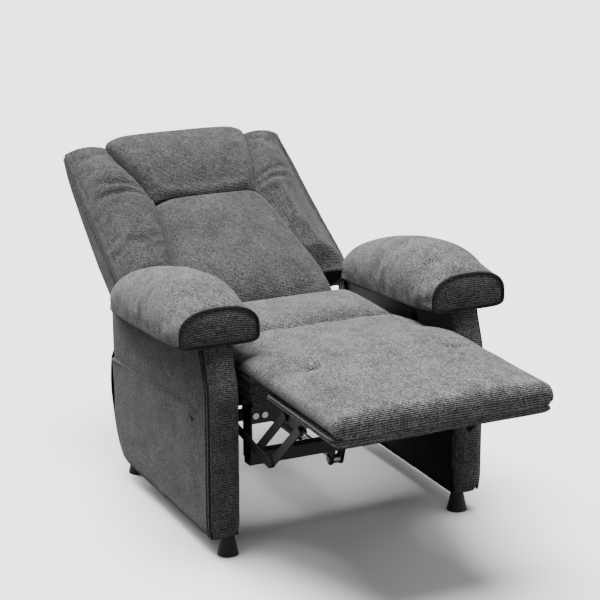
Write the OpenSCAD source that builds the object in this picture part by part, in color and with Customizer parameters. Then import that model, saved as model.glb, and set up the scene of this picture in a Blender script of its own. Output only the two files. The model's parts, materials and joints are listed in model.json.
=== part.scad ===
// Powered recliner armchair: two padded arms on a floor base, a back that
// reclines on rear pivots and swings the seat, and a folding footrest.
// The chair faces -Y, +X is to the right, +Z is up and the floor is Z = 0.
// The rest state is the reclined one, with the footrest out.

/* [Overall] */
// Clear width between the two arms
seat_gap_w = 572; // [460:4:700]
// Thickness of one arm below its pad
arm_t = 68; // [56:2:90]
// Depth of the arms, front to rear
arm_d = 635; // [520:5:770]
// Height of the arm frame at its front
arm_front_h = 506; // [480:2:560]
// Height of the arm frame at its rear
arm_rear_h = 433; // [425:1:440]
// Gap between the floor and the arm frame
arm_lift = 45; // [35:1:60]

/* [Feet] */
// Diameter of a foot on the floor
foot_d = 50; // [36:1:60]
// Diameter of a foot where it meets the arm
foot_top_d = 31; // [20:1:36]
// Distance of a front foot's centre from the front of the arm
foot_inset = 27; // [25:1:45]
// Distance of a rear foot's centre from the rear of the arm
foot_rear_inset = 38; // [30:1:60]

/* [Arm pads] */
// Width of an arm pad
pad_w = 192; // [150:2:230]
// Height of an arm pad's front face
pad_face_h = 97; // [80:1:110]
// Height of the pad's crown above its front face
pad_crown = 42; // [20:1:60]
// Distance of the pad's face behind the arm's front
pad_setback = 25; // [10:1:50]

/* [Back] */
// Recline of the back from upright, at rest
back_tilt = 58; // [50:1:62]
// Length of the back above its pivot
back_len = 560; // [480:5:640]
// Reach of each wing over the inner face of its arm
wing_reach = 29; // [20:1:40]
// Half of the centre cushions' width at the top
head_half_w = 200; // [180:1:206]
// Half of the centre cushions' width at the seam between them
seam_half_w = 153; // [130:1:175]
// Half of the lower back cushion's width at the seat
lumbar_half_w = 205; // [185:1:212]

/* [Recline mechanism] */
// Distance of the back's pivot ahead of the rear of the arm
pivot_inset = 37; // [30:1:50]
// Height of the back's pivot
pivot_z = 440; // [436:1:444]
// Distance from the back's pivot to the front swing pivot
swing_gap = 380; // [320:5:420]
// Length of the swing links
swing_len = 100; // [90:1:108]
// Forward lean of the swing links at rest
swing_lead = 19; // [10:1:25]
// Thickness of the steel plates
plate_t = 4; // [3:0.5:5]
// Gap between neighbouring plates
plate_gap = 3; // [3:0.5:4]
// Radius of the pivot pins
pin_r = 5; // [4:0.5:6]
// Radial running clearance of a pin in its bore
pin_clear = 0.05; // [0.02:0.01:0.1]

/* [Footrest] */
// Gap between the footrest pad and each arm
footrest_side_gap = 16; // [12:1:24]
// Length of the footrest pad
footrest_len = 350; // [300:5:360]
// Height of the footrest's top surface
footrest_top_z = 485; // [480:1:492]
// Radius of the padded roll that the footrest folds round
fold_r = 50; // [44:1:54]
// Distance of the fold ahead of the arm's front
fold_reach = 37; // [30:1:45]
// Height of the fold
fold_z = 463; // [460:1:466]

/* [Seat] */
// Height of the seat cushion's top
seat_top_z = 480; // [470:1:486]
// Height of the seat's wooden frame
seat_frame_h = 40; // [30:1:45]

/* [Drive] */
// Height of the actuator's axis
drive_z = 165; // [150:1:175]
// Diameter of the actuator's sleeve
sleeve_d = 36; // [30:1:44]
// Diameter of the actuator's rod
rod_d = 16; // [12:1:20]

/* [Switch] */
// Travel of the switch buttons
button_travel = 2; // [1:0.5:3]
// Diameter of a switch button
button_d = 18; // [14:1:22]

/* [Hidden] */
$fn = 48;

half_gap = seat_gap_w / 2;
wing_half_w = half_gap + wing_reach;
footrest_w = seat_gap_w - 2 * footrest_side_gap;
arm_outer = half_gap + arm_t;
cover_t = 4;
front_strip_t = 20;
front_lean = 25;
lean_h = 90;
rear_round = 115;

// Plate layers, counted from the arm inwards: base plate, swing links,
// seat rail, main links, short links, footrest bracket.
function layer_in(i) = half_gap - plate_t - i * (plate_t + plate_gap);
function layer_out(i) = layer_in(i) + plate_t;
layer_base = 0;
layer_swing = 1;
layer_seat = 2;
layer_main = 3;
layer_short = 4;
layer_foot = 5;
core_half = layer_in(layer_foot) - 4;
head_t = 1.5;
head_r = pin_r + 3;
bore_r = pin_r + pin_clear;

// Pivots in the side view, as [y, z]
pivot = [arm_d - pivot_inset, pivot_z];
swing = [-swing_len * sin(swing_lead), -swing_len * cos(swing_lead)];
rear_low = pivot + swing;
front_top = pivot - [swing_gap, 0];
front_low = front_top + swing;
fold = [-fold_reach, fold_z];
main_root = [91, 296];
main_mid = main_root + [-128.5, -20];
main_tip = main_root + [-199, -31];
short_reach = [-134, 120];
rear_eye = main_mid + short_reach;
front_eye = main_tip + short_reach;
link_w = 22;

// Seat levels
frame_top = 405;
frame_bottom = frame_top - seat_frame_h;
pad_under_z = 413;
board_t = 12;
footrest_front = -fold_reach - fold_r - 3 - footrest_len;

// The back's own frame: origin on its pivot, z up the back, y to its rear
back_top_y = 38;
rear_reach = pivot[0] + back_top_y * cos(back_tilt) + back_len * sin(back_tilt);
mid_y = (rear_reach + footrest_front) / 2;

// Drive: the clevis and pin stand under the lower cross tube
tube_y = 57;
tube_z = 217;
tube_w = 30;
clevis_y = tube_y + 26;
drive_rear = pivot[0];
stroke = 2 * swing_len * sin(swing_lead);
ear_t = 5;
eye_half_w = 9;
pin_half_w = 17;

// ---- helpers -------------------------------------------------------------

// Moves the whole chair so that its box is centred front to rear
module place() {
    translate([0, -mid_y, 0]) children();
}

// Mirrors a right-hand piece to the left
module side(s) {
    mirror([s < 0 ? 1 : 0, 0, 0]) children();
}

// Extrudes a [y, z] outline from x0 to x1
module along_x(x0, x1) {
    translate([x0, 0, 0]) rotate([90, 0, 90]) linear_extrude(x1 - x0) children();
}

// Extrudes an [x, z] outline from y0 to y1
module along_y(y0, y1) {
    translate([0, y1, 0]) rotate([90, 0, 0]) linear_extrude(y1 - y0) children();
}

// Puts the children in the back's own frame
module on_back() {
    translate([0, pivot[0], pivot[1]]) rotate([-back_tilt, 0, 0]) children();
}

module rod_x(p, r, x0, x1) {
    translate([x0, p[0], p[1]]) rotate([0, 90, 0]) cylinder(h = x1 - x0, r = r);
}

module disc(p, r) {
    translate(p) circle(r = r);
}

// Flat bar with round ends, slightly proud of its edges, between two [y, z] points
module bar(a, b, w) {
    waist = w - 0.6;
    disc(a, w / 2);
    disc(b, w / 2);
    translate(a) rotate(atan2(b[1] - a[1], b[0] - a[0]))
        translate([0, -waist / 2]) square([norm(b - a), waist]);
}

// Pin that stands on layer i and runs inwards through layer i + 1, with a head
module pin_in(p, i) {
    rod_x(p, pin_r, layer_in(i + 1) - 1, layer_in(i));
    rod_x(p, head_r, layer_in(i + 1) - 0.5 - head_t, layer_in(i + 1) - 0.5);
}

function arc(c, r, a0, a1, n) =
    [for (i = [0:n]) c + r * [cos(a0 + (a1 - a0) * i / n), sin(a0 + (a1 - a0) * i / n)]];

// Box of a given half width, y span and z span
module slab(hw, y0, y1, z0, z1) {
    translate([-hw, y0, z0]) cube([2 * hw, y1 - y0, z1 - z0]);
}

// ---- base: arms and feet -------------------------------------------------

function rear_arc(grow) = arc([arm_d - rear_round, arm_lift + rear_round], rear_round + grow, -90, 0, 10);

module arm_outline(y0, inset) {
    polygon(concat(
        [[y0, arm_lift + inset]],
        rear_arc(-inset),
        [[arm_d - inset, arm_rear_h - inset]],
        [[y0 + front_lean, pad_under(y0 + front_lean) - inset]],
        [[y0, arm_front_h - lean_h - inset]]));
}

module side_frame(s) {
    color("burlywood") side(s) along_x(half_gap + cover_t, arm_outer - cover_t)
        arm_outline(front_strip_t, cover_t);
}

// Outer panel and the band that wraps the bottom, rear and top edges
module side_cover(s) {
    color("dimgray") side(s) {
        along_x(arm_outer - cover_t, arm_outer) arm_outline(front_strip_t, 0);
        along_x(half_gap + cover_t, arm_outer - cover_t) difference() {
            arm_outline(front_strip_t, 0);
            arm_outline(front_strip_t, cover_t);
        }
    }
}

module arm_front(s) {
    color("dimgray") side(s) along_x(half_gap, arm_outer) polygon(concat(
        [[front_strip_t, arm_lift]],
        [[8, arm_lift]],
        [[0, arm_lift + 8]],
        [[0, arm_front_h - lean_h]],
        [[front_lean + 1, arm_front_h - 6]],
        [[front_strip_t + front_lean * (1 - 6 / lean_h), arm_front_h - 6]],
        [[front_strip_t, arm_front_h - lean_h]]));
}

module inner_lining(s) {
    color([0.05, 0.05, 0.05]) side(s) along_x(half_gap, half_gap + cover_t) arm_outline(front_strip_t, 0);
}

function pad_under(y) = arm_front_h - (arm_front_h - arm_rear_h) * y / arm_d;
notch_y = (arm_front_h - pivot[1] - 22) * arm_d / (arm_front_h - arm_rear_h);
pad_rear = arm_d - 20;
pad_mid = half_gap + arm_t / 2 + 3;
crest_y = 145;

module pad_profile() {
    face = pad_setback;
    polygon([
        [face, pad_under(face)],
        [face, pad_under(face) + pad_face_h - 12],
        [face + 12, pad_under(face) + pad_face_h],
        [crest_y - 60, pad_under(crest_y) + pad_face_h + pad_crown],
        [crest_y + 20, pad_under(crest_y) + pad_face_h + pad_crown + 8],
        [crest_y + 130, pad_under(crest_y + 130) + pad_face_h + pad_crown],
        [pad_rear - 150, pad_under(pad_rear - 150) + pad_face_h + 18],
        [pad_rear - 40, pad_under(pad_rear) + 96],
        [pad_rear, pad_under(pad_rear) + 66],
        [pad_rear, pad_under(pad_rear)]]);
}

module pad_section() {
    half = pad_w / 2;
    top = arm_front_h + pad_face_h + pad_crown + 10;
    polygon([
        [-half + 6, arm_rear_h],
        [half - 6, arm_rear_h],
        [half, arm_rear_h + 12],
        [half, top - 85],
        [half - 14, top - 40],
        [half - 45, top - 8],
        [0, top],
        [-half + 45, top - 8],
        [-half + 14, top - 40],
        [-half, top - 85],
        [-half, arm_rear_h + 12]]);
}

// The notch clears the back's pivot plate beside the arm
module arm_pad(s) {
    color("gray") side(s) difference() {
        intersection() {
            along_x(pad_mid - pad_w / 2, pad_mid + pad_w / 2) pad_profile();
            translate([pad_mid, 0, 0]) along_y(0, arm_d) pad_section();
        }
        translate([0, notch_y, 0])
            cube([half_gap + 1, arm_d, pivot[1] + 34]);
    }
}

foot_x = half_gap + 21;

module foot_front(s) {
    color([0.06, 0.06, 0.06]) side(s) translate([foot_x, foot_inset, 0])
        cylinder(h = arm_lift, d1 = foot_d, d2 = foot_top_d);
}

// The rear foot has a stem that meets the rounded corner of the arm
module foot_rear(s) {
    color([0.06, 0.06, 0.06]) side(s) difference() {
        translate([foot_x, arm_d - foot_rear_inset, 0]) union() {
            cylinder(h = arm_lift, d1 = foot_d, d2 = foot_top_d);
            translate([0, 0, arm_lift]) cylinder(h = rear_round / 2, d = foot_top_d);
        }
        along_x(half_gap - foot_d, arm_outer) arm_outline(front_strip_t, 0);
    }
}

// ---- base: fixed steel ---------------------------------------------------

// Plate on the arm's inner face that holds both upper pivots
module base_plate(s) {
    color([0.12, 0.12, 0.13]) side(s) {
        along_x(layer_in(layer_base), half_gap) bar(front_top, pivot, 40);
        pin_in(pivot, layer_base);
        pin_in(front_top, layer_base);
    }
}

rear_rail_y = arm_d - 45;

module rear_rail() {
    color("burlywood") slab(half_gap, rear_rail_y, rear_rail_y + 30, 250, 300);
}

// Steel tube across the base with the fixed clevis of the actuator
module drive_tube() {
    color([0.12, 0.12, 0.13]) {
        slab(half_gap, drive_rear - 30, drive_rear - 5, drive_z - 62, drive_z - 37);
        for (m = [0, 1]) mirror([m, 0, 0])
            translate([eye_half_w + 2, drive_rear - 30, drive_z - 38])
                cube([ear_t, 25, 54]);
        rod_x([drive_rear - 17, drive_z], 5, -eye_half_w - 2 - ear_t, eye_half_w + 2 + ear_t);
    }
}

// Black cloth that closes the rear and bulges out behind the arms
module rear_dust_cover() {
    outer = [[0, 330], [34, 298], [44, 258], [43, 215], [30, 170], [5, 118]];
    color([0.05, 0.05, 0.05]) translate([0, arm_d, 0]) along_x(2 - arm_outer, arm_outer - 2)
        polygon(concat(outer, [for (i = [len(outer) - 1:-1:1]) outer[i] - [4, 0]]));
}

sleeve_front = clevis_y + 190;
sleeve_rear = drive_rear - 120;

module actuator_motor() {
    color([0.07, 0.07, 0.07]) difference() {
        union() {
            rod_y(drive_z, 26, sleeve_rear, drive_rear - 42);
            translate([0, drive_rear - 80, drive_z + 22]) rotate([0, 90, 0])
                cylinder(h = 74, r = 24);
            slab(eye_half_w, drive_rear - 42, drive_rear - 7, drive_z - 11, drive_z + 11);
        }
        rod_x([drive_rear - 17, drive_z], 5, -50, 50);
    }
}

module rod_y(z, r, y0, y1) {
    translate([0, y0, z]) rotate([-90, 0, 0]) cylinder(h = y1 - y0, r = r);
}

module actuator_sleeve() {
    color([0.1, 0.1, 0.1]) difference() {
        rod_y(drive_z, sleeve_d / 2, sleeve_front, sleeve_rear);
        rod_y(drive_z, rod_d / 2 + pin_clear, sleeve_front - 1, sleeve_rear - 8);
    }
}

// ---- base: switch --------------------------------------------------------

switch_y = 230;
switch_z = 400;
switch_t = 6;
button_gap = 17;
button_h = switch_t + 3;

module switch_panel() {
    color([0.08, 0.08, 0.08]) difference() {
        along_x(arm_outer, arm_outer + switch_t)
            bar([switch_y - 26, switch_z], [switch_y + 26, switch_z], 40);
        for (d = [-1, 1])
            rod_x([switch_y + d * button_gap, switch_z], button_d / 2 + 0.3, arm_outer - 1, arm_outer + 20);
    }
}

module button(d) {
    color([0.3, 0.3, 0.32])
        rod_x([switch_y + d * button_gap, switch_z], button_d / 2,
            arm_outer + button_travel + 0.2, arm_outer + button_h + 2);
}

// ---- back ----------------------------------------------------------------

post_x = [wing_half_w - 63, wing_half_w - 42];
rail_y = [44, 72];
rail_z = [52, 88];

module back_bottom_rail() {
    color("burlywood") on_back()
        slab(layer_in(layer_swing), rail_y[0], rail_y[1], rail_z[0], rail_z[1]);
}

module back_post(s) {
    color("burlywood") side(s) on_back() along_x(post_x[0], post_x[1]) polygon([
        [rail_y[0] - 6, rail_z[1]],
        [rail_y[1], rail_z[1]],
        [46, back_len / 2],
        [31, back_len - 25],
        [14, back_len - 25],
        [18, back_len / 2]]);
}

module back_top_rail() {
    color("burlywood") on_back() slab(post_x[0], 14, 31, back_len - 65, back_len - 25);
}

// Zig-zag wires between the two rails of the back
module back_springs() {
    low = rail_z[1];
    high = back_len - 65;
    turns = 14;
    step = (high - low) / turns;
    color("silver") on_back() for (x = [-120, 0, 120])
        translate([x, 26, 0]) along_y(-2, 2) zigzag(44, low, step, turns);
    color("silver") on_back() for (x = [-120, 0, 120])
        translate([x - 4, 24, low]) cube([8, 22, 4]);
}

// Square zig-zag wire in an [x, z] plane, 4 wide
module zigzag(w, z0, step, turns) {
    t = 2;
    for (i = [0:turns])
        translate([-w / 2, z0 + i * step - (i == 0 ? 0 : t)]) square([w, i == 0 || i == turns ? t : 2 * t]);
    for (i = [0:turns - 1])
        translate([i % 2 == 0 ? w / 2 - 2 * t : -w / 2, z0 + i * step]) square([2 * t, step]);
}

// Side plate from the pivot down to the seat and back to the bottom rail
module back_bracket(s) {
    color([0.12, 0.12, 0.13]) side(s) {
        difference() {
            union() {
                along_x(layer_in(layer_swing), layer_out(layer_swing)) bar(pivot, rear_low, 30);
                on_back() along_x(layer_in(layer_swing), layer_out(layer_swing))
                    bar([0, 0], [rail_y[0] + 12, rail_z[0] + 14], 36);
            }
            rod_x(pivot, bore_r, layer_in(layer_swing) - 1, half_gap);
        }
        pin_in(rear_low, layer_swing);
    }
}

// Upholstered rear and gussets, open to the front
cover_wall = 5;
back_cover_rear = [[back_top_y, back_len], [62, 420], [78, 297], [93, 215], [103, 107], [92, 66], [70, 40]];

module back_cover_outline(d) {
    polygon(concat(
        [[10, back_len]],
        back_cover_rear,
        [[40, 40]],
        [[10, 170]]));
}

module back_cover() {
    color("dimgray") on_back() difference() {
        along_x(-wing_half_w, wing_half_w) back_cover_outline();
        along_x(-wing_half_w + cover_wall, wing_half_w - cover_wall)
            translate([-0.01, 0]) offset(delta = -cover_wall) back_cover_outline();
        along_x(-wing_half_w + cover_wall, wing_half_w - cover_wall) polygon([
            [9, back_len - cover_wall],
            [20, back_len - cover_wall],
            [20, 170],
            [64, 46],
            [64, 39],
            [39, 39],
            [9, 170]]);
    }
}

seam_z = 318;
head_top_z = back_len + 17;

module centre_outline() {
    polygon([
        [-lumbar_half_w, -170],
        [lumbar_half_w, -170],
        [lumbar_half_w, 0],
        [seam_half_w + 8, seam_z],
        [head_half_w - 14, seam_z + 140],
        [head_half_w, head_top_z - 20],
        [head_half_w - 12, head_top_z + 5],
        [12 - head_half_w, head_top_z + 5],
        [-head_half_w, head_top_z - 20],
        [14 - head_half_w, seam_z + 140],
        [-seam_half_w - 8, seam_z],
        [-lumbar_half_w, 0]]);
}

module head_cushion() {
    color("gray") on_back() intersection() {
        along_x(-head_half_w, head_half_w) polygon([
            [8, seam_z + 1],
            [-44, seam_z + 1],
            [-66, seam_z + 40],
            [-76, seam_z + 120],
            [-72, head_top_z - 50],
            [-56, head_top_z - 10],
            [-38, head_top_z],
            [-6, head_top_z - 4],
            [8, head_top_z - 20]]);
        along_y(-200, 200) centre_outline();
    }
}

// The lower front corner sweeps clear of the seat cushion
module lumbar_cushion() {
    color("gray") on_back() intersection() {
        along_x(-lumbar_half_w, lumbar_half_w) polygon([
            [8, seam_z - 1],
            [-44, seam_z - 1],
            [-78, seam_z - 70],
            [-108, seam_z - 180],
            [-132, 40],
            [-139, -60],
            [-136, -115],
            [-118, -138],
            [-90, -140],
            [-50, -90],
            [-10, -20],
            [8, 20]]);
        along_y(-200, 200) centre_outline();
    }
}

// Padded side of the back between the centre cushions and the side welt
module wing(s) {
    color("gray") side(s) on_back() difference() {
        intersection() {
            along_x(seam_half_w, wing_half_w) polygon([
                [9, 112],
                [3, 120],
                [-16, 176],
                [-34, 260],
                [-46, seam_z],
                [-56, back_len - 60],
                [-40, back_len],
                [0, back_len + 8],
                [9, back_len]]);
            linear_extrude(2 * back_len) polygon([
                [seam_half_w, -60],
                [head_half_w + 20, -52],
                [wing_half_w - 20, -22],
                [wing_half_w, 0],
                [wing_half_w, 9],
                [seam_half_w, 9]]);
        }
        along_y(-200, 200) offset(delta = 1) centre_outline();
    }
}

// ---- seat ----------------------------------------------------------------

// Side rail of the mechanism, with a flange that carries the seat frame
module seat_rail(s) {
    flange_y = [front_low[0] - 20, rear_low[0] - 70];
    color([0.12, 0.12, 0.13]) side(s) {
        difference() {
            along_x(layer_in(layer_seat), layer_out(layer_seat)) {
                bar(front_low, rear_low, 30);
                bar(main_root, front_low, 30);
                translate([flange_y[0], rear_low[1]])
                    square([flange_y[1] - flange_y[0], frame_bottom + 18 - rear_low[1]]);
            }
            for (p = [front_low, rear_low])
                rod_x(p, bore_r, layer_in(layer_seat) - 1, half_gap);
        }
        pin_in(main_root, layer_seat);
        translate([core_half, flange_y[0], frame_bottom + 14])
            cube([layer_in(layer_seat) - core_half, flange_y[1] - flange_y[0], 4]);
    }
}

frame_front = 26;
frame_rear = rear_low[0] - 228;
rail_t = 28;

// Four wooden rails joined at their corners
module seat_frame() {
    color("burlywood") difference() {
        slab(core_half, frame_front, frame_rear, frame_bottom, frame_top);
        slab(core_half - rail_t, frame_front + rail_t, frame_rear - rail_t, frame_bottom - 1, frame_top + 1);
    }
}

module seat_springs() {
    low = frame_front + rail_t;
    high = frame_rear - rail_t;
    turns = 12;
    step = (high - low) / turns;
    color("silver") for (x = [-150, -50, 50, 150])
        translate([x, 0, frame_top - 8]) linear_extrude(4) zigzag(46, low, step, turns);
}

tuck_half_w = pad_mid - pad_w / 2 - 7;
seam_y = 165;

module seat_cushion() {
    color("gray") intersection() {
        along_x(-half_gap, half_gap) polygon([
            [seam_y, frame_top],
            [frame_rear, frame_top],
            [rear_low[0] - 186, seat_top_z - 22],
            [rear_low[0] - 188, seat_top_z - 8],
            [rear_low[0] - 206, seat_top_z],
            [seam_y + 12, seat_top_z],
            [seam_y, seat_top_z - 10]]);
        along_y(0, arm_d) polygon([
            [-half_gap + 22, frame_top - 1],
            [half_gap - 22, frame_top - 1],
            [half_gap - 22, frame_top + 18],
            [tuck_half_w, frame_top + 28],
            [tuck_half_w, seat_top_z - 14],
            [tuck_half_w - 30, seat_top_z + 1],
            [30 - tuck_half_w, seat_top_z + 1],
            [-tuck_half_w, seat_top_z - 14],
            [-tuck_half_w, frame_top + 28],
            [22 - half_gap, frame_top + 18]]);
    }
}

// Front part of the seat, ending in the roll that the footrest folds round
module chaise_cushion() {
    chord_y = -sqrt(fold_r * fold_r - pow(footrest_top_z - fold_z, 2));
    color("gray") intersection() {
        along_x(-footrest_w / 2, footrest_w / 2) intersection() {
            union() {
                disc(fold, fold_r);
                translate([fold[0], pad_under_z])
                    square([seam_y - 1 - fold[0], footrest_top_z - pad_under_z]);
            }
            translate([fold[0] - fold_r, fold[1] - fold_r])
                square([fold_r + seam_y - fold[0], footrest_top_z - fold[1] + fold_r]);
        }
        union() {
            translate([-half_gap, fold[0] - fold_r - 1, 0])
                cube([2 * half_gap, fold_r + 12 - fold[0], 900]);
            slab(tuck_half_w, -1, seam_y, 0, 900);
            slab(footrest_w / 2, -1, seam_y, 0, frame_top + 28);
        }
    }
}

module seat_front_panel() {
    color("gray") slab(core_half, frame_front - 6, frame_front, 350, pad_under_z - 1);
}

rail_front = 30;
rail_low = 308;
bracket_x = core_half - 4;

// Angle across the front under the panel
module front_cross_rail() {
    color([0.1, 0.1, 0.1]) difference() {
        union() {
            slab(core_half, rail_front, rail_front + 4, rail_low, 349);
            slab(core_half, rail_front, frame_front + rail_t, 346, 349);
            slab(core_half, frame_front + rail_t - 4, frame_front + rail_t, 346, frame_bottom);
        }
        for (m = [0, 1]) mirror([m, 0, 0]) for (d = [10, 33])
            translate([core_half - d, rail_front - 1, 328]) rotate([-90, 0, 0])
                cylinder(h = 10, r = 3.2);
    }
}

module rail_screws() {
    color("silver") for (m = [0, 1]) mirror([m, 0, 0]) for (d = [10, 33])
        translate([core_half - d, rail_front, 328]) rotate([90, 0, 0]) {
            cylinder(h = 4, r = 7.5);
            translate([0, 0, -8]) cylinder(h = 8, r = 3.2);
        }
}

// Square tube hung on two side straps, with the slotted clevis of the actuator
module lower_cross_tube() {
    color([0.1, 0.1, 0.1]) {
        slab(core_half, tube_y - tube_w / 2, tube_y + tube_w / 2, tube_z - tube_w / 2, tube_z + tube_w / 2);
        for (m = [0, 1]) mirror([m, 0, 0]) translate([bracket_x, rail_front + 4, tube_z])
            cube([4, 44, 346 - tube_z]);
        for (m = [0, 1]) mirror([m, 0, 0]) along_x(eye_half_w + 2, eye_half_w + 2 + ear_t) difference() {
            bar([clevis_y - 12, tube_z - tube_w / 2], [clevis_y, drive_z], 28);
            bar([clevis_y, drive_z - 3], [clevis_y, drive_z + 7], 12);
        }
    }
}

module swing_link(s) {
    color([0.12, 0.12, 0.13]) side(s) {
        difference() {
            along_x(layer_in(layer_swing), layer_out(layer_swing)) bar(front_top, front_low, 30);
            rod_x(front_top, bore_r, layer_in(layer_swing) - 1, half_gap);
        }
        pin_in(front_low, layer_swing);
    }
}

// ---- footrest ------------------------------------------------------------

footrest_rear = -fold_reach - fold_r - 3;

module footrest_board() {
    color("burlywood") slab(layer_in(layer_foot), footrest_front + 14, footrest_rear - 14,
        pad_under_z, pad_under_z + board_t);
}

// Pad with a lip that hides the board's edges
module footrest_pad() {
    half = footrest_w / 2;
    top = footrest_top_z;
    low = pad_under_z + board_t + 1;
    color("gray") {
        along_x(-half, half) polygon([
            [footrest_rear, low],
            [footrest_rear, top - 8],
            [footrest_rear - 10, top],
            [footrest_front + 16, top],
            [footrest_front, top - 14],
            [footrest_front, low - 4],
            [footrest_front + 6, low - 12],
            [footrest_front + 13, low - 12],
            [footrest_front + 13, low]]);
        for (m = [0, 1]) mirror([m, 0, 0])
            translate([half - 7, footrest_front + 13, low - 12])
                cube([7, footrest_len - 13, 13]);
    }
}

module footrest_bracket(s) {
    color([0.12, 0.12, 0.13]) side(s) {
        along_x(layer_in(layer_foot), layer_out(layer_foot)) {
            bar(rear_eye, front_eye, 22);
            translate([front_eye[0] - 30, pad_under_z - 12])
                square([rear_eye[0] - front_eye[0] + 60, 12 + board_t]);
            translate([front_eye[0], front_eye[1]])
                square([rear_eye[0] - front_eye[0], pad_under_z - front_eye[1]]);
        }
        for (p = [rear_eye, front_eye])
            rod_x(p, head_r, layer_in(layer_foot) - 3, layer_in(layer_foot));
    }
}

module main_link(s) {
    color([0.12, 0.12, 0.13]) side(s) {
        difference() {
            along_x(layer_in(layer_main), layer_out(layer_main)) bar(main_root, main_tip, link_w);
            rod_x(main_root, bore_r, layer_in(layer_main) - 1, half_gap);
        }
        pin_in(main_mid, layer_main);
        pin_in(main_tip, layer_main);
    }
}

// Short link with a blind rivet towards the footrest bracket
module short_link(a, b) {
    for (m = [0, 1]) mirror([m, 0, 0]) difference() {
        union() {
            along_x(layer_in(layer_short), layer_out(layer_short)) bar(a, b, link_w);
            rod_x(b, head_r, layer_in(layer_short) - plate_gap + 0.4, layer_in(layer_short));
        }
        rod_x(a, bore_r, layer_in(layer_short) - 1, layer_out(layer_short) + 1);
    }
}

module front_links() {
    color([0.12, 0.12, 0.13]) short_link(main_tip, front_eye);
}

module rear_links() {
    color([0.12, 0.12, 0.13]) short_link(main_mid, rear_eye);
}

// ---- drive rod -----------------------------------------------------------

module actuator_rod() {
    color("silver") difference() {
        union() {
            rod_y(drive_z, rod_d / 2, clevis_y + 6, sleeve_front + 120);
            rod_x([clevis_y, drive_z], 11, -eye_half_w, eye_half_w);
        }
        rod_x([clevis_y, drive_z], 5, -20, 20);
    }
}

module clevis_pin() {
    color("silver") {
        rod_x([clevis_y, drive_z], 5, -pin_half_w, pin_half_w);
        for (m = [0, 1]) mirror([m, 0, 0]) rod_x([clevis_y, drive_z], 8, pin_half_w, pin_half_w + 3);
    }
}

place() side_frame(-1);  // side_frame_left
place() side_frame(1);  // side_frame_right
place() side_cover(-1);  // side_cover_left
place() side_cover(1);  // side_cover_right
place() arm_front(-1);  // arm_front_left
place() arm_front(1);  // arm_front_right
place() inner_lining(-1);  // inner_lining_left
place() inner_lining(1);  // inner_lining_right
place() arm_pad(-1);  // arm_pad_left
place() arm_pad(1);  // arm_pad_right
place() foot_front(-1);  // foot_front_left
place() foot_front(1);  // foot_front_right
place() foot_rear(-1);  // foot_rear_left
place() foot_rear(1);  // foot_rear_right
place() base_plate(-1);  // base_plate_left
place() base_plate(1);  // base_plate_right
place() rear_rail();
place() drive_tube();
place() rear_dust_cover();
place() actuator_motor();
place() actuator_sleeve();
place() switch_panel();
place() back_post(-1);  // back_post_left
place() back_post(1);  // back_post_right
place() back_top_rail();
place() back_bottom_rail();
place() back_bracket(-1);  // back_bracket_left
place() back_bracket(1);  // back_bracket_right
place() back_cover();
place() back_springs();
place() head_cushion();
place() lumbar_cushion();
place() wing(-1);  // wing_left
place() wing(1);  // wing_right
place() seat_rail(-1);  // seat_rail_left
place() seat_rail(1);  // seat_rail_right
place() seat_frame();
place() seat_springs();
place() seat_cushion();
place() chaise_cushion();
place() seat_front_panel();
place() front_cross_rail();
place() rail_screws();
place() lower_cross_tube();
place() swing_link(-1);  // swing_link_left
place() swing_link(1);  // swing_link_right
place() footrest_board();
place() footrest_pad();
place() footrest_bracket(-1);  // footrest_bracket_left
place() footrest_bracket(1);  // footrest_bracket_right
place() main_link(-1);  // main_link_left
place() main_link(1);  // main_link_right
place() front_links();
place() rear_links();
place() actuator_rod();
place() clevis_pin();
place() button(-1);  // button_up
place() button(1);  // button_down
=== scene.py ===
"""Looks of a powered recliner armchair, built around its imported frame.

The chair faces -Y. Lengths are in metres, and angles in degrees where a name says so.
"""

import json
import logging
import math
from dataclasses import dataclass
from enum import Enum
from typing import Callable, Iterable, Sequence

import bmesh
import bpy
import numpy as np
from mathutils import Matrix, Vector, noise


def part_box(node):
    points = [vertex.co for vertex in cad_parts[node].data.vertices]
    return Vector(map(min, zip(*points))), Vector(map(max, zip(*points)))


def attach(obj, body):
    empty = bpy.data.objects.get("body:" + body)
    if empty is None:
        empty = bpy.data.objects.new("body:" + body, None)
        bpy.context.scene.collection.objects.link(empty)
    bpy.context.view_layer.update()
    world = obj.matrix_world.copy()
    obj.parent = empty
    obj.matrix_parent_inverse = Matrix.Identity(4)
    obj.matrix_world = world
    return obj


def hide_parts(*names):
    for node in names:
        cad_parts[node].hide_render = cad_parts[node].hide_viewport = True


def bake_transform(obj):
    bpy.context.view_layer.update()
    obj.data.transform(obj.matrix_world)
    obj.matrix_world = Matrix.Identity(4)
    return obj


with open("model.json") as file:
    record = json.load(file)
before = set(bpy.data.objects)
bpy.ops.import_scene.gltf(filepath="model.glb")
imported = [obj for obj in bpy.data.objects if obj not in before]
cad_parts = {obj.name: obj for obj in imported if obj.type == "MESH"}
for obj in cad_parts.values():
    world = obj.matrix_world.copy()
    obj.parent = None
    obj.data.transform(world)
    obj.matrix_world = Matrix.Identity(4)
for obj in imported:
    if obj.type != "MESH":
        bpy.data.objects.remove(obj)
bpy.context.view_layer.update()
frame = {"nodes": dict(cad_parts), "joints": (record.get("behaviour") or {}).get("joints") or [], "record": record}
LOG = logging.getLogger("recliner")

Shape = Callable[[float, float, float], Vector]
Table = Sequence[tuple[float, float]]
NodeTree = bpy.types.NodeTree


class Side(Enum):
    """The two sides of the chair, as a sign along X."""

    LEFT = -1
    RIGHT = 1

    @property
    def word(self) -> str:
        """The side's name as the frame writes it."""
        return self.name.lower()


# ---- small maths ---------------------------------------------------------


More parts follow.
